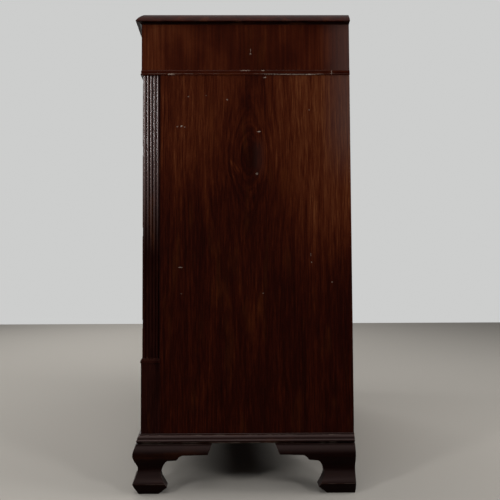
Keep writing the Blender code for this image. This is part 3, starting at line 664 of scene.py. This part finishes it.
# %% [markdown]
# ## Knocks on the end
# Long use has left small pale knocks. Each has its own place, so they are given as a list: how far
# behind the front a knock lies, its height, its half width and half height, and how pale it is.
# Scattered at random they would look like a pattern. The list for the bead also holds long thin
# pale lines along its upper edge and its fillet: these are painted highlights, not knocks.

# %% Finish the two ends
def on_board(back, z, wide, high, strength):
    """A knock on the right-hand end, from its distance back from the front and its height."""
    return (END_EDGE + back, z, wide, high, strength)


END_CHIPS = tuple(on_board(*chip) for chip in (
    (0.0894, 0.8939, 0.0024, 0.0028, 0.6),
    (0.0996, 0.8949, 0.0034, 0.0024, 0.85),
    (0.1073, 0.8932, 0.0026, 0.0018, 0.5),
    (0.1167, 0.9695, 0.0024, 0.0024, 0.5),
    (0.1606, 0.9724, 0.0026, 0.0012, 0.3),
    (0.2133, 0.9617, 0.0024, 0.0028, 0.4),
    (0.2927, 0.8811, 0.0060, 0.0014, 0.85),
    (0.2863, 0.7757, 0.0050, 0.0036, 0.3),
    (0.4176, 0.9356, 0.0016, 0.0028, 0.35),
    (0.2723, 1.0771, 0.0024, 0.0030, 0.6),
    (0.2723, 1.0855, 0.0010, 0.0070, 0.35),
    (0.3080, 1.0174, 0.0056, 0.0022, 0.6),
    (0.0964, 0.5447, 0.0066, 0.0012, 0.65),
    (0.4183, 0.5753, 0.0012, 0.0052, 0.4),
    (0.4202, 0.5565, 0.0018, 0.0022, 0.45),
    (0.4702, 0.5080, 0.0024, 0.0020, 0.35),
    (0.3004, 0.4808, 0.0026, 0.0020, 0.3),
    (0.0987, 0.4800, 0.0026, 0.0016, 0.2),
    (0.5206, 0.9485, 0.0024, 0.0420, 0.5),
    (0.5199, 0.8578, 0.0020, 0.0300, 0.4),
))
# Knocks on the bead; the long thin ones on its upper edge and fillet are painted highlights
BEAD_KNOCKS_AND_HIGHLIGHTS = tuple(on_board(*chip) for chip in (
    (0.0756, 1.0250, 0.0120, 0.0034, 0.5),
    (0.2590, 1.0350, 0.0170, 0.0016, 0.5),
    (0.3040, 1.0350, 0.0050, 0.0022, 0.6),
    (0.3820, 1.0245, 0.0900, 0.0014, 0.45),
    (0.4220, 1.0240, 0.0120, 0.0018, 0.5),
    (0.4760, 1.0290, 0.0016, 0.0080, 0.45),
))
LEFT_HEART = (-CASE_SIDE + 0.06, 0.62)
end_right = mahogany("mahogany_end_right", "upright", KNOT, KNOT_STRETCH, contrast=1.25,
                     patchy=0.5, chips=END_CHIPS, knot=end_and_frieze)
end_left = mahogany("mahogany_end_left", "upright", LEFT_HEART, 3.0, patchy=0.6)
print(len(END_CHIPS), "knocks on the board and", len(BEAD_KNOCKS_AND_HIGHLIGHTS), "on the bead")

# %% [markdown]
# ## Polish and painted highlights on the reeds
# Dusting cloths rub the crowns of the upper reeds, so the polish there is still clear and mirrors
# the lamps. Lower down it has gone dull. A clear coat that covers only the crowns does this. A
# grey-red painted highlight is also mixed into the colour of the same crowns, strongest at the top
# and gone lower down. The crown is found by its depth under the face of the post, because the reeds
# are sunk into it.

# %% Polish the reeds and paint their highlights
CROWN_STARTS = (-0.0046, -0.0035)
CROWN_ENDS = (-0.0030, -0.0022)
POLISH_AND_HIGHLIGHT_LEVELS = (0.56, 0.86)


def polish_and_highlight_reeds(finish):
    """Clear polish and a painted highlight on the crowns, full at the top of the posts and gone
    lower down.
    """
    x, y, z = finish.place()
    beside = abs(x) - CASE_SIDE
    proud = beside.math("MAXIMUM", beside, CASE_FRONT - y)
    crown = proud.between(*CROWN_STARTS) * proud.until(*CROWN_ENDS)
    polish_and_highlight = crown * z.between(*POLISH_AND_HIGHLIGHT_LEVELS)
    finish.shade(Coat_Weight=polish_and_highlight * 0.95, Coat_Roughness=0.20)
    # Painted highlight: a grey-red colour mixed into the crowns, strongest at the top
    return finish.tint(polish_and_highlight * 0.55, REED_HIGHLIGHT_COLOUR)


post_wood = mahogany("mahogany_posts", "upright", stops=TRIM_STOPS, gloss=0.34, shine=0.02,
                     edges=0.3, relief=0.03)
polish_and_highlight_reeds(post_wood)
print("the reeds are polished above", POLISH_AND_HIGHLIGHT_LEVELS[0])

# %% [markdown]
# ## The other boards
# Each solid has its grain along its length, as a joiner cuts it: upright on the posts, level on the
# rails and the drawer fronts, and following the mitres on the mouldings and feet. Show fronts were
# cut for their figure, so each drawer has the heart of the tree near its middle. The mouldings kept
# more of their polish than the flat ends. Their ledges get a pale tone that is partly dust and
# partly a painted highlight, as light falling from above.

# %% Finishes of the case
trim_wood = mahogany("mahogany_mouldings", "mitred", stops=TRIM_STOPS, warmth=-0.16, gloss=0.30,
                     shine=0.07, tint=CLEAR_SHINE, edges=0.5, dust_and_highlight=0.32)
bead_wood = mahogany("mahogany_bead", "mitred", warmth=0.06, gloss=0.34, shine=0.03, edges=0.7,
                     dust_and_highlight=0.25, chips=BEAD_KNOCKS_AND_HIGHLIGHTS)
foot_wood = mahogany("mahogany_feet", "mitred", stops=TRIM_STOPS, warmth=-0.33, patchy=0.3,
                     gloss=0.32, shine=0.03, tint=CLEAR_SHINE, edges=0.4, dust_and_highlight=0.25)
top_wood = mahogany("mahogany_top", "crosswise", (1.12, 0.12), 4.0, warmth=-0.04, contrast=1.15,
                    gloss=0.36, shine=0.016, dust_and_highlight=0.12)
rail_wood = mahogany("mahogany_rails", "crosswise", warmth=0.08, contrast=1.2, gloss=0.30,
                     shine=0.09)
HEART_UNDER = 0.32


def drawer_wood(drawer):
    """Figured wood, its heart a share of the front's height under the middle of the front."""
    low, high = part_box(f"{drawer}_front")
    middle = (low + high) / 2
    heart = (middle.z - (high.z - low.z) * HEART_UNDER, middle.x)
    return mahogany(f"mahogany_{drawer}", "crosswise", heart, 4.6, 0.16, gloss=0.27, shine=0.12,
                    warmth=0.17, contrast=1.3)


print("finishes:", sorted(material.name for material in bpy.data.materials))

# %% [markdown]
# ## Oak linings and back boards
# The insides of the drawers and the back were never polished. Oak there is dry and pale brown,
# darker where it has stood in the air and dust. Its open grain shows as long dark lines. The back
# is one solid with a groove at each joint, so its boards get their own tones by counting how many
# board widths a point lies across.

# %% Bare oak
OAK_STOPS = (
    (0.25, (0.085, 0.045, 0.022)),
    (0.50, (0.210, 0.125, 0.064)),
    (0.80, (0.340, 0.225, 0.125)),
)
OLD_BACK_STOPS = (
    (0.25, (0.040, 0.022, 0.012)),
    (0.50, (0.105, 0.060, 0.032)),
    (0.80, (0.190, 0.118, 0.066)),
)
OPEN_GRAIN_COLOUR = (0.060, 0.032, 0.016)
OAK_CREST_COLOUR = (0.30, 0.20, 0.12)
BACK_BOARD_WIDTH = 0.2045


def oak(name, way, stops=OAK_STOPS, board=0.0):
    """Bare oak, with long open grain. Boards of a given width differ a little from each other."""
    finish = Finish(name)
    across, along, through = laid(finish, way)
    plank = across.math("FLOOR", across * (1.0 / board)) if board else 0.0
    change = finish.noise(plank * 7.3, plank * 3.1, plank * 5.7, 0.0) - 0.5 if board else 0.0
    sway = finish.noise(across * 4.0, along * 1.5, through * 4.0, 2.0)
    stripes = finish.noise(across * 130.0 + sway * 9.0, through * 130.0, along * 3.0, 4.0)
    lines = finish.noise(across * 1500.0, through * 1500.0, along * 45.0, 2.0)
    stain = finish.noise(across * 11.0, along * 8.0, through * 11.0)
    open_grain = lines.between(0.56, 0.70)
    wood = finish.ramp(stripes * 0.7 + lines * 0.3 + stain * 0.4 + change * 0.9 - 0.20, stops)
    wood = finish.blend(open_grain * 0.55, wood, OPEN_GRAIN_COLOUR)
    return finish.shade(
        Base_Color=finish.blend(finish.crest() * 0.4, wood, OAK_CREST_COLOUR),
        Roughness=stain * 0.2 + 0.58,
        Normal=finish.bump(stripes * 0.5 - open_grain, 0.4, 0.0003),
        Specular_IOR_Level=0.3,
    )


lining_long = oak("oak_sides", "lengthwise")
lining_wide = oak("oak_backs_and_bottoms", "crosswise")
back_wood = oak("oak_back_boards", "upright", OLD_BACK_STOPS, BACK_BOARD_WIDTH)
print("oak from", OAK_STOPS[0][1], "to", OAK_STOPS[-1][1])

# %% [markdown]
# ## Aged brass, iron and painted shade in a keyhole
# The handles are cast brass, polished on the high places and brown in the hollows. A metal takes
# its colour from its reflections, so the pattern here changes the roughness as much as the colour.
# Nails and lock cases are iron with a thin rust. The inside of a keyhole is painted shade: a dark,
# speckled sheet behind the hole.

# %% Brass
def brass(name, clean, brown, low, high, gloss):
    """Old brass. Tarnish begins where the pattern is over low, and is full at high."""
    finish = Finish(name)
    x, y, z = finish.place()
    spots = finish.noise(x * 210.0, y * 210.0, z * 210.0, 4.0)
    haze = finish.noise(x * 26.0, y * 26.0, z * 26.0, 2.0)
    tarnish = ((spots * 0.6 + haze * 0.6).between(low, high) - finish.crest() * 0.7).clamp()
    return finish.shade(
        Base_Color=finish.blend(tarnish, clean, brown),
        Metallic=1.0,
        Roughness=tarnish * 0.28 + gloss,
        Normal=finish.bump(spots, 0.12, 0.0002),
    )


bail_brass = brass("rubbed_brass", clean=(0.72, 0.50, 0.21), brown=(0.30, 0.18, 0.07),
                   low=0.58, high=0.95, gloss=0.24)
plate_brass = brass("tarnished_brass", clean=(0.38, 0.25, 0.095), brown=(0.14, 0.08, 0.032),
                    low=0.36, high=0.80, gloss=0.34)
print("brass:", bail_brass.material.name, "and", plate_brass.material.name)

# %% Iron, and painted shade for keyholes
IRON_COLOUR, RUST_COLOUR = (0.030, 0.026, 0.024), (0.075, 0.032, 0.016)
# Painted shade for the inside of a keyhole, with a darker speckle
HOLE_SHADE_COLOUR, HOLE_SHADE_SPECKLE_COLOUR = (0.0015, 0.0010, 0.0008), (0.008, 0.005, 0.004)


def iron(name):
    """Dark iron with spots of rust."""
    finish = Finish(name)
    x, y, z = finish.place()
    rust = finish.noise(x * 900.0, y * 900.0, z * 900.0)
    return finish.shade(
        Base_Color=finish.blend(rust.between(0.4, 0.7), IRON_COLOUR, RUST_COLOUR),
        Metallic=0.7,
        Roughness=rust * 0.3 + 0.45,
        Normal=finish.bump(rust, 0.3, 0.0002),
    )


def painted_hole_shade(name):
    """Painted shade for the inside of a small hole in the wood: dark, a little speckled."""
    finish = Finish(name)
    x, y, z = finish.place()
    shade_speckle = finish.noise(x * 700.0, y * 700.0, z * 700.0)
    return finish.shade(
        Base_Color=finish.blend(shade_speckle, HOLE_SHADE_COLOUR, HOLE_SHADE_SPECKLE_COLOUR),
        Roughness=0.9,
        Specular_IOR_Level=0.0,
    )


fitting_iron = iron("fitting_iron")
hole_shade = painted_hole_shade("keyhole_painted_shade")
print("and:", fitting_iron.material.name, hole_shade.material.name)

# %% [markdown]
# ## Softening every arris
# No old edge is sharp: it has been sanded, polished and knocked. The solid model has sharp edges,
# so a copy of each board is merged, its flat faces are joined, and its edges get a small bevel of
# two strips. The line of points between the two strips is the crest, and it is marked for the
# finish. The copy then stands for the solid. Shading is smooth except across real corners, and a
# large face counts for more than a narrow strip beside it, so flat wood stays flat. The reeds of
# the posts turn more sharply from strip to strip than other rounds, so a corner there is steeper.

# %% Put a piece in the scene
CORNER = math.radians(32.0)


def put(name, bm, finish, body, node=None, corner=CORNER):
    """Put a finished mesh in the scene as a piece of one body."""
    mesh = bpy.data.meshes.new(name)
    bm.to_mesh(mesh)
    bm.free()
    mesh.shade_smooth()
    mesh.set_sharp_from_angle(angle=corner)
    mesh.materials.append(finish.material)
    piece = bpy.data.objects.new(name, mesh)
    piece.modifiers.new("even_shading", "WEIGHTED_NORMAL").keep_sharp = True
    scene.collection.objects.link(piece)
    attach(piece, body)
    if node:
        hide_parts(node)
    return piece


print("an edge of over", round(math.degrees(CORNER)), "degrees is a corner")

# %% Softened copies of the solids
MERGE = 1e-5
FLAT = math.radians(1.0)
ARRIS = 0.0007
FINE_ARRIS = 0.0004
SEAM_NEAR = 0.001


def merged(node):
    """A copy of a solid's mesh with its triangles joined."""
    bm = bmesh.new()
    bm.from_mesh(nodes[node].data)
    bmesh.ops.remove_doubles(bm, verts=bm.verts, dist=MERGE)
    bmesh.ops.dissolve_limit(bm, angle_limit=FLAT, verts=bm.verts, edges=bm.edges)
    return bm


def at_seam(edge):
    """True for an edge where a post meets the end board beside it: that joint is planed flush."""
    return all(abs(vert.co.y - POST_EDGE) < SEAM_NEAR for vert in edge.verts)


def round_edges(bm, width, corner):
    """Round the real corners, and mark the crests of the outer ones."""
    corners = [edge for edge in bm.edges
               if edge.is_manifold and edge.calc_face_angle() > corner and not at_seam(edge)]
    made = bmesh.ops.bevel(bm, geom=corners, offset=width, segments=2, profile=0.5,
                           affect="EDGES", material=-1, clamp_overlap=True)
    rounded = set(made["faces"])
    crest = bm.verts.layers.float.new("crest")
    bm.normal_update()
    for vert in bm.verts:
        if all(face in rounded for face in vert.link_faces):
            others = [edge.other_vert(vert).co for edge in vert.link_edges]
            middle = sum(others, Vector()) / len(others)
            vert[crest] = float(vert.normal.dot(middle - vert.co) < 0)


def softened(node, finish, width=ARRIS, corner=CORNER, cut=None):
    """A piece that stands for a solid, its corners rounded, its faces cut at a height if asked."""
    bm = merged(node)
    if cut:
        everything = bm.verts[:] + bm.edges[:] + bm.faces[:]
        bmesh.ops.bisect_plane(bm, geom=everything, plane_co=(0, 0, cut), plane_no=(0, 0, 1))
    round_edges(bm, width, corner)
    return put(f"soft_{node}", bm, finish, nodes[node]["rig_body"], node, corner)


print("an arris is rounded by", ARRIS, "m, a fine one by", FINE_ARRIS)

# %% [markdown]
# ## Dressing the case
# Each solid of the case gets its softened copy and its finish. The posts are cut level with the
# bead, because the frieze runs round the corner over them: the part of a post above the bead shows
# the wood of the frieze. The faces up there get a second material on the same piece, which is
# simpler than cutting the post in two.

# %% Dress the case
POST_CORNER = math.radians(44.0)
CASE_FINISHES = {
    "side_right": end_right,
    "side_left": end_left,
    "corner_post_left": post_wood,
    "corner_post_right": post_wood,
    "top_board": top_wood,
    "top_cove_moulding": trim_wood,
    "frieze_bead": bead_wood,
    "frieze_board": rail_wood,
    "base_moulding": trim_wood,
    "drawer_divider": post_wood,
    "rail_1": rail_wood,
    "rail_2": rail_wood,
    "rail_3": rail_wood,
    "bottom_board": rail_wood,
    "back_panel": back_wood,
    "foot_front_left": foot_wood,
    "foot_front_right": foot_wood,
    "foot_rear_left": foot_wood,
    "foot_rear_right": foot_wood,
}
for node, finish in CASE_FINISHES.items():
    if node.startswith("corner_post"):
        softened(node, finish, FINE_ARRIS, POST_CORNER, (bead_low.z + bead_high.z) / 2)
    else:
        softened(node, finish)
print(len(CASE_FINISHES), "pieces of the case are softened")

# %% Frieze wood on the posts
for word, finish in (("right", end_right), ("left", end_left)):
    mesh = bpy.data.objects[f"soft_corner_post_{word}"].data
    mesh.materials.append(finish.material)
    for face in mesh.polygons:
        if face.center.z > BEAD_LEVEL:
            face.material_index = 1
    print("frieze faces on the", word, "post:", sum(face.material_index for face in mesh.polygons))

# %% [markdown]
# ## Dressing the drawers
# A drawer is a show front with plain boards behind it. The front gets its own figured mahogany. The
# linings are bare oak, with the grain of the sides running back and that of the bottom and the back
# running across, and their arrises are finer, because nothing but linen ever rubs them.

# %% Dress the drawers
for drawer in DRAWERS:
    softened(f"{drawer}_front", drawer_wood(drawer))
    for side in ("left", "right"):
        softened(f"{drawer}_side_{side}", lining_long, FINE_ARRIS)
    softened(f"{drawer}_back", lining_wide, FINE_ARRIS)
    softened(f"{drawer}_bottom", lining_wide, FINE_ARRIS)

# %% [markdown]
# ## Handles
# The solid model has the handle's shape: a back plate with two posts, and a bail whose pins turn in
# them. The plate gets the line that an engraver cuts along its edge and round its posts, by
# insetting its front three times and sinking the middle one. The bail is rounded by one level of
# subdivision. Turned beads go on its grip and turned roses round the posts, spun from half an
# outline as a lathe would.

# %% Spun shapes
TURN_STEPS = 20
BEAD_STEPS = 6
AWAY, ACROSS, UP = Vector((0, -1, 0)), Vector((1, 0, 0)), Vector((0, 0, 1))


def spun(bm, profile, centre, axis, up):
    """Turn half an outline, given as places along the axis and radii, about the axis."""
    points = [bm.verts.new(centre + axis * along + up * radius) for along, radius in profile]
    edges = [bm.edges.new(pair) for pair in zip(points, points[1:])]
    bmesh.ops.spin(bm, geom=points + edges, cent=centre, axis=axis, angle=math.tau,
                   steps=TURN_STEPS, use_merge=True)
    bmesh.ops.remove_doubles(bm, verts=bm.verts, dist=MERGE)
    bmesh.ops.recalc_face_normals(bm, faces=bm.faces)


def bulge(half, radius):
    """The outline of a turned bead, closed at both ends."""
    turns = [math.pi * step / BEAD_STEPS for step in range(BEAD_STEPS + 1)]
    return [(-half * math.cos(turn), radius * math.sin(turn)) for turn in turns]


print("a turned bead has", TURN_STEPS * BEAD_STEPS, "faces")

# %% Engrave the plates and add their roses
ENGRAVED = ((0.0016, 0.0), (0.0006, -0.0004), (0.0005, 0.0004))
PLATE_THICKNESS = 0.0016
PIN_RISE = 0.037
POST_REACH = 0.045
SAME_PLANE = 0.0002
METAL_CORNER = math.radians(50)
PLATE_ARRIS = 0.0003
ROSE = ((0.0, 0.0066), (0.0, 0.0090), (0.0007, 0.0092), (0.0013, 0.0086), (0.0011, 0.0079),
        (0.0017, 0.0073), (0.0017, 0.0066), (0.0, 0.0066))
ROSE_GAP = 0.00005


def handle_middle(plate):
    """The place between a handle's two pins, on the front of its plate."""
    low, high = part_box(plate)
    return Vector(((low.x + high.x) / 2, high.y - PLATE_THICKNESS, low.z + PIN_RISE))


def engrave(bm, front):
    """Cut a line just inside the edges of the plate's flat front."""
    bm.normal_update()
    flat = [face for face in bm.faces
            if face.normal.y < -0.99 and abs(face.calc_center_median().y - front) < SAME_PLANE]
    for thickness, depth in ENGRAVED:
        bmesh.ops.inset_region(bm, faces=flat, thickness=thickness, depth=depth,
                               use_even_offset=True, use_boundary=True)


plates = [name for name in nodes if "handle_plate" in name]
for node in plates:
    body = nodes[node]["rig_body"]
    middle = handle_middle(node)
    bm = merged(node)
    engrave(bm, middle.y)
    round_edges(bm, PLATE_ARRIS, METAL_CORNER)
    put(f"soft_{node}", bm, plate_brass, body, node)
    bm = bmesh.new()
    for side in (-1, 1):
        spun(bm, ROSE, middle + ACROSS * (side * POST_REACH) + AWAY * ROSE_GAP, AWAY, UP)
    put(node.replace("plate", "roses"), bm, bail_brass, body)
print(len(plates), "plates are engraved, with two roses each")

# %% Round the bails and bead their grips
BAIL_RUB = 0.6
GRIP_RISE = 0.0030
MIDDLE_BEAD = (0.0040, 0.0046)
SIDE_BEAD = (0.0012, 0.0042)
SIDE_BEAD_OUT = 0.0062
SIDE_BEAD_RISE = 0.0004

bails = [name for name in nodes if "handle_bail" in name]
for node in bails:
    body = nodes[node]["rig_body"]
    bm = merged(node)
    crest = bm.verts.layers.float.new("crest")
    for vert in bm.verts:
        vert[crest] = BAIL_RUB
    bail = put(f"soft_{node}", bm, bail_brass, body, node)
    rounder = bail.modifiers.new("rounder", "SUBSURF")
    rounder.levels = rounder.render_levels = 1
    bail.modifiers.move(1, 0)
    low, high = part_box(node)
    grip = Vector(((low.x + high.x) / 2, (low.y + high.y) / 2, low.z + GRIP_RISE))
    bm = bmesh.new()
    spun(bm, bulge(*MIDDLE_BEAD), grip, ACROSS, UP)
    for side in (-1, 1):
        beside = grip + ACROSS * (side * SIDE_BEAD_OUT) + UP * SIDE_BEAD_RISE
        spun(bm, bulge(*SIDE_BEAD), beside, ACROSS, UP)
    put(node.replace("bail", "beads"), bm, bail_brass, body)
print(len(bails), "bails are rounded, with three beads each")

# %% [markdown]
# ## Keyholes
# A drawer's keyhole plate is a small version of its handle plate, with a keyhole cut through it.
# Half of the outline is given by a few points, a smooth curve runs through them, and the other half
# is its mirror image. Bridging the outline to the outline of the keyhole leaves the hole open, and
# pushing the faces out gives the plate its thickness. Behind the hole a thin dark sheet is painted
# shade, standing for the depth of the hole.

# %% A curve through a few points
def curve_through(points, steps=3):
    """More points, on a smooth line through the given ones."""
    points = [Vector(point) for point in points]
    line = []
    for i, (b, c) in enumerate(zip(points, points[1:])):
        a = points[max(i - 1, 0)]
        d = points[min(i + 2, len(points) - 1)]
        for t in (step / steps for step in range(steps)):
            bend = (a * 2 - b * 5 + c * 4 - d) * t**2 + (b * 3 - a - c * 3 + d) * t**3
            line.append(b + ((c - a) * t + bend) / 2)
    return line + [points[-1]]


SHIELD_HALF = ((0.0000, 0.0110), (0.0032, 0.0133), (0.0070, 0.0108), (0.0112, 0.0122),
               (0.0140, 0.0070), (0.0152, 0.0015), (0.0136, -0.0040), (0.0100, -0.0078),
               (0.0062, -0.0100), (0.0028, -0.0136), (0.0000, -0.0160))
half = curve_through(SHIELD_HALF)
shield_line = half + [Vector((-spot.x, spot.y)) for spot in reversed(half[1:-1])]
print("the shield has", len(shield_line), "points")

# %% The outline of a keyhole
KEY_ROUND = 0.0027
KEY_SLOT = 0.0014
KEY_FOOT = -0.0080
KEY_STEPS = 14


def keyhole_line():
    """The round of the keyhole, open below, and then its slot."""
    start = -math.acos(KEY_SLOT / KEY_ROUND)
    sweep = math.pi - 2 * start
    turns = [start + sweep * step / KEY_STEPS for step in range(KEY_STEPS + 1)]
    ring = [Vector((KEY_ROUND * math.cos(turn), KEY_ROUND * math.sin(turn))) for turn in turns]
    return ring + [Vector((-KEY_SLOT, KEY_FOOT)), Vector((KEY_SLOT, KEY_FOOT))]


print("the keyhole has", len(keyhole_line()), "points")

# %% Keyhole plates
SHIELD_GAP = 0.0003
SHIELD_THICKNESS = 0.0011
SHIELD_ARRIS = 0.00035
HOLE_GAP = 0.0001
HOLE_THICKNESS = 0.0003


def closed_line(bm, outline, middle):
    """A closed line of edges in the plane of a drawer's front."""
    points = [bm.verts.new(middle + ACROSS * spot.x + UP * spot.y) for spot in outline]
    return [bm.edges.new(pair) for pair in zip(points, points[1:] + points[:1])]


def thicken(bm, faces, thickness):
    """Push flat faces out towards the front, and join them to where they were."""
    grown = bmesh.ops.extrude_face_region(bm, geom=faces, use_keep_orig=True)["geom"]
    moved = [item for item in grown if isinstance(item, bmesh.types.BMVert)]
    bmesh.ops.translate(bm, verts=moved, vec=AWAY * thickness)
    bmesh.ops.recalc_face_normals(bm, faces=bm.faces)


def fit_keyhole(drawer, middle):
    """The plate round a keyhole, and a thin dark sheet of painted shade in its hole."""
    bm = bmesh.new()
    place = middle + AWAY * SHIELD_GAP
    edges = closed_line(bm, shield_line, place) + closed_line(bm, keyhole_line(), place)
    thicken(bm, bmesh.ops.bridge_loops(bm, edges=edges)["faces"], SHIELD_THICKNESS)
    round_edges(bm, SHIELD_ARRIS, METAL_CORNER)
    put(f"{drawer}_keyhole_plate", bm, plate_brass, drawer)
    bm = bmesh.new()
    # A thin dark sheet in the hole: painted shade
    edges = closed_line(bm, keyhole_line(), middle + AWAY * HOLE_GAP)
    thicken(bm, bmesh.ops.contextual_create(bm, geom=edges)["faces"], HOLE_THICKNESS)
    put(f"{drawer}_keyhole", bm, hole_shade, drawer)


print("a keyhole plate is", SHIELD_THICKNESS, "m thick")

# %% [markdown]
# ## Locks
# A lock is an iron box on an iron plate, screwed to the inside of the drawer's front, with a brass
# plate let into the top edge, through which the bolt rises. All of it shows when a drawer is open.
# Boxes between given corners are enough, with their edges rounded. The screws are small domes, spun
# as the beads are, and the nails will use the same shape.

# %% Blocks and domed heads
HEAD_RIM = 0.35
HEAD_DOME = 0.45


def block(bm, across, deep, high):
    """A box, from its two ends across, front to back, and up."""
    near, far = (Vector(corner) for corner in zip(across, deep, high))
    size = Matrix.Diagonal((*(far - near), 1))
    bmesh.ops.create_cube(bm, size=1, matrix=Matrix.Translation((near + far) / 2) @ size)


def about(middle, half):
    """The two ends of a length, from its middle."""
    return middle - half, middle + half


def studs(bm, places, out, up, radius, height):
    """Nail or screw heads: low domes that look along out."""
    outline = ((0.0, 0.0), (0.0, radius), (height * HEAD_RIM, radius),
               (height, radius * HEAD_DOME), (height, 0.0))
    for place in places:
        spun(bm, outline, Vector(place), out, up)


print("a head rises straight for", HEAD_RIM, "of its height")

# %% A lock and its top plate
LOCK_HALF = 0.030
LOCK_DEEP = 0.036
LOCK_DOWN = 0.0030
LOCK_PLATE = (0.0001, 0.0021)
LOCK_BOX_HALF = 0.019
LOCK_BOX_BACK = 0.0075
LOCK_BOX_FOOT = 0.004
LOCK_BOX_HEAD = 0.003
LOCK_ARRIS = 0.0005
TOP_PLATE = {"deep": (-0.0130, 0.0), "high": (-0.0002, 0.0003)}
BOLT_HALF = 0.0065
BOLT = {"deep": (-0.0105, -0.0035), "high": (0.0001, 0.0006)}
TOP_PLATE_ARRIS = 0.0001
SCREW_OUT = 0.0245
SCREW_DROPS = (0.006, 0.030)
SCREW_RADIUS = 0.0026
SCREW_HEIGHT = 0.0009


def fit_lock(drawer, middle, back, rim):
    """A lock, from its middle across, the inside of the drawer's front and the front's top edge."""
    top = rim - LOCK_DOWN
    plate = [back + depth for depth in LOCK_PLATE]
    bm = bmesh.new()
    block(bm, about(middle, LOCK_HALF), plate, (top - LOCK_DEEP, top))
    block(bm, about(middle, LOCK_BOX_HALF), (plate[1], back + LOCK_BOX_BACK),
          (top - LOCK_DEEP + LOCK_BOX_FOOT, top - LOCK_BOX_HEAD))
    round_edges(bm, LOCK_ARRIS, CORNER)
    put(f"{drawer}_lock", bm, fitting_iron, drawer)
    bm = bmesh.new()
    for half_width, part in ((LOCK_HALF, TOP_PLATE), (BOLT_HALF, BOLT)):
        block(bm, about(middle, half_width), [back + depth for depth in part["deep"]],
              [rim + rise for rise in part["high"]])
    round_edges(bm, TOP_PLATE_ARRIS, CORNER)
    put(f"{drawer}_lock_top", bm, plate_brass, drawer)
    bm = bmesh.new()
    places = [(place, plate[1], top - drop) for place in about(middle, SCREW_OUT)
              for drop in SCREW_DROPS]
    studs(bm, places, -AWAY, UP, SCREW_RADIUS, SCREW_HEIGHT)
    put(f"{drawer}_lock_screws", bm, bail_brass, drawer)


print("a lock is", 2 * LOCK_HALF, "by", LOCK_DEEP, "m")

# %% Fit keyholes and locks
FACE_IN = 0.0020
FRONT_WOOD = 0.022
KEYHOLE_DROP = 0.0255

for drawer in DRAWERS:
    low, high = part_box(f"{drawer}_front")
    middle_x = (low.x + high.x) / 2
    face = low.y + FACE_IN
    fit_keyhole(drawer, Vector((middle_x, face, high.z - KEYHOLE_DROP)))
    fit_lock(drawer, middle_x, face + FRONT_WOOD, high.z)
print("keyholes and locks on", DRAWERS)

# %% [markdown]
# ## Nails
# Back boards and drawer bottoms were nailed with clout nails, whose heads stand a little out of the
# wood. The heads must not reach outside the solid model, so the back boards in the picture lie a
# hair deeper than the solid ones. Each nail is a little off its line, as nails driven by eye are.

# %% Nail the back
NAIL_LEVELS = (0.128, 0.395, 0.640, 0.850, 1.140)
NAIL_RISE = 0.0006
NAIL_RADIUS = 0.0032
NAIL_SHARES = (0.2, 0.8)
NAIL_DRIFT = 0.004
REAR_FACE_NEAR = 0.0010
BACK_BOARDS = 5

for vert in bpy.data.objects["soft_back_panel"].data.vertices:
    if vert.co.y > CASE_BACK - REAR_FACE_NEAR:
        vert.co.y -= NAIL_RISE
panel_low, panel_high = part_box("back_panel")
board_width = (panel_high.x - panel_low.x) / BACK_BOARDS
places = []
for column in range(BACK_BOARDS):
    for share in NAIL_SHARES:
        for level in NAIL_LEVELS:
            drift = NAIL_DRIFT * math.sin(17.0 * column + 5.0 * share + 31.0 * level)
            x = panel_low.x + board_width * (column + share) + drift
            places.append((x, CASE_BACK - NAIL_RISE, level + drift))
bm = bmesh.new()
studs(bm, places, -AWAY, UP, NAIL_RADIUS, NAIL_RISE * 0.9)
put("back_nails", bm, fitting_iron, "case")
print("the back has", len(places), "nails")

# %% Nail the drawer bottoms
WIDE_DRAWER = 0.6
WIDE_NAILS, NARROW_NAILS = 5, 3
BOTTOM_NAIL_IN = 0.005
BOTTOM_NAIL_RADIUS = 0.0026
BOTTOM_NAIL_HEIGHT = 0.0005

for drawer in DRAWERS:
    low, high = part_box(f"{drawer}_bottom")
    width = high.x - low.x
    count = WIDE_NAILS if width > WIDE_DRAWER else NARROW_NAILS
    places = [(low.x + width * (i + 0.5) / count, high.y - BOTTOM_NAIL_IN, low.z)
              for i in range(count)]
    bm = bmesh.new()
    studs(bm, places, -UP, AWAY, BOTTOM_NAIL_RADIUS, BOTTOM_NAIL_HEIGHT)
    put(f"{drawer}_bottom_nails", bm, fitting_iron, drawer)
print("the last drawer's bottom has", count, "nails")

# %% [markdown]
# ## Inside the solid model's box
# The dressed chest must stay inside the box of the solid model.
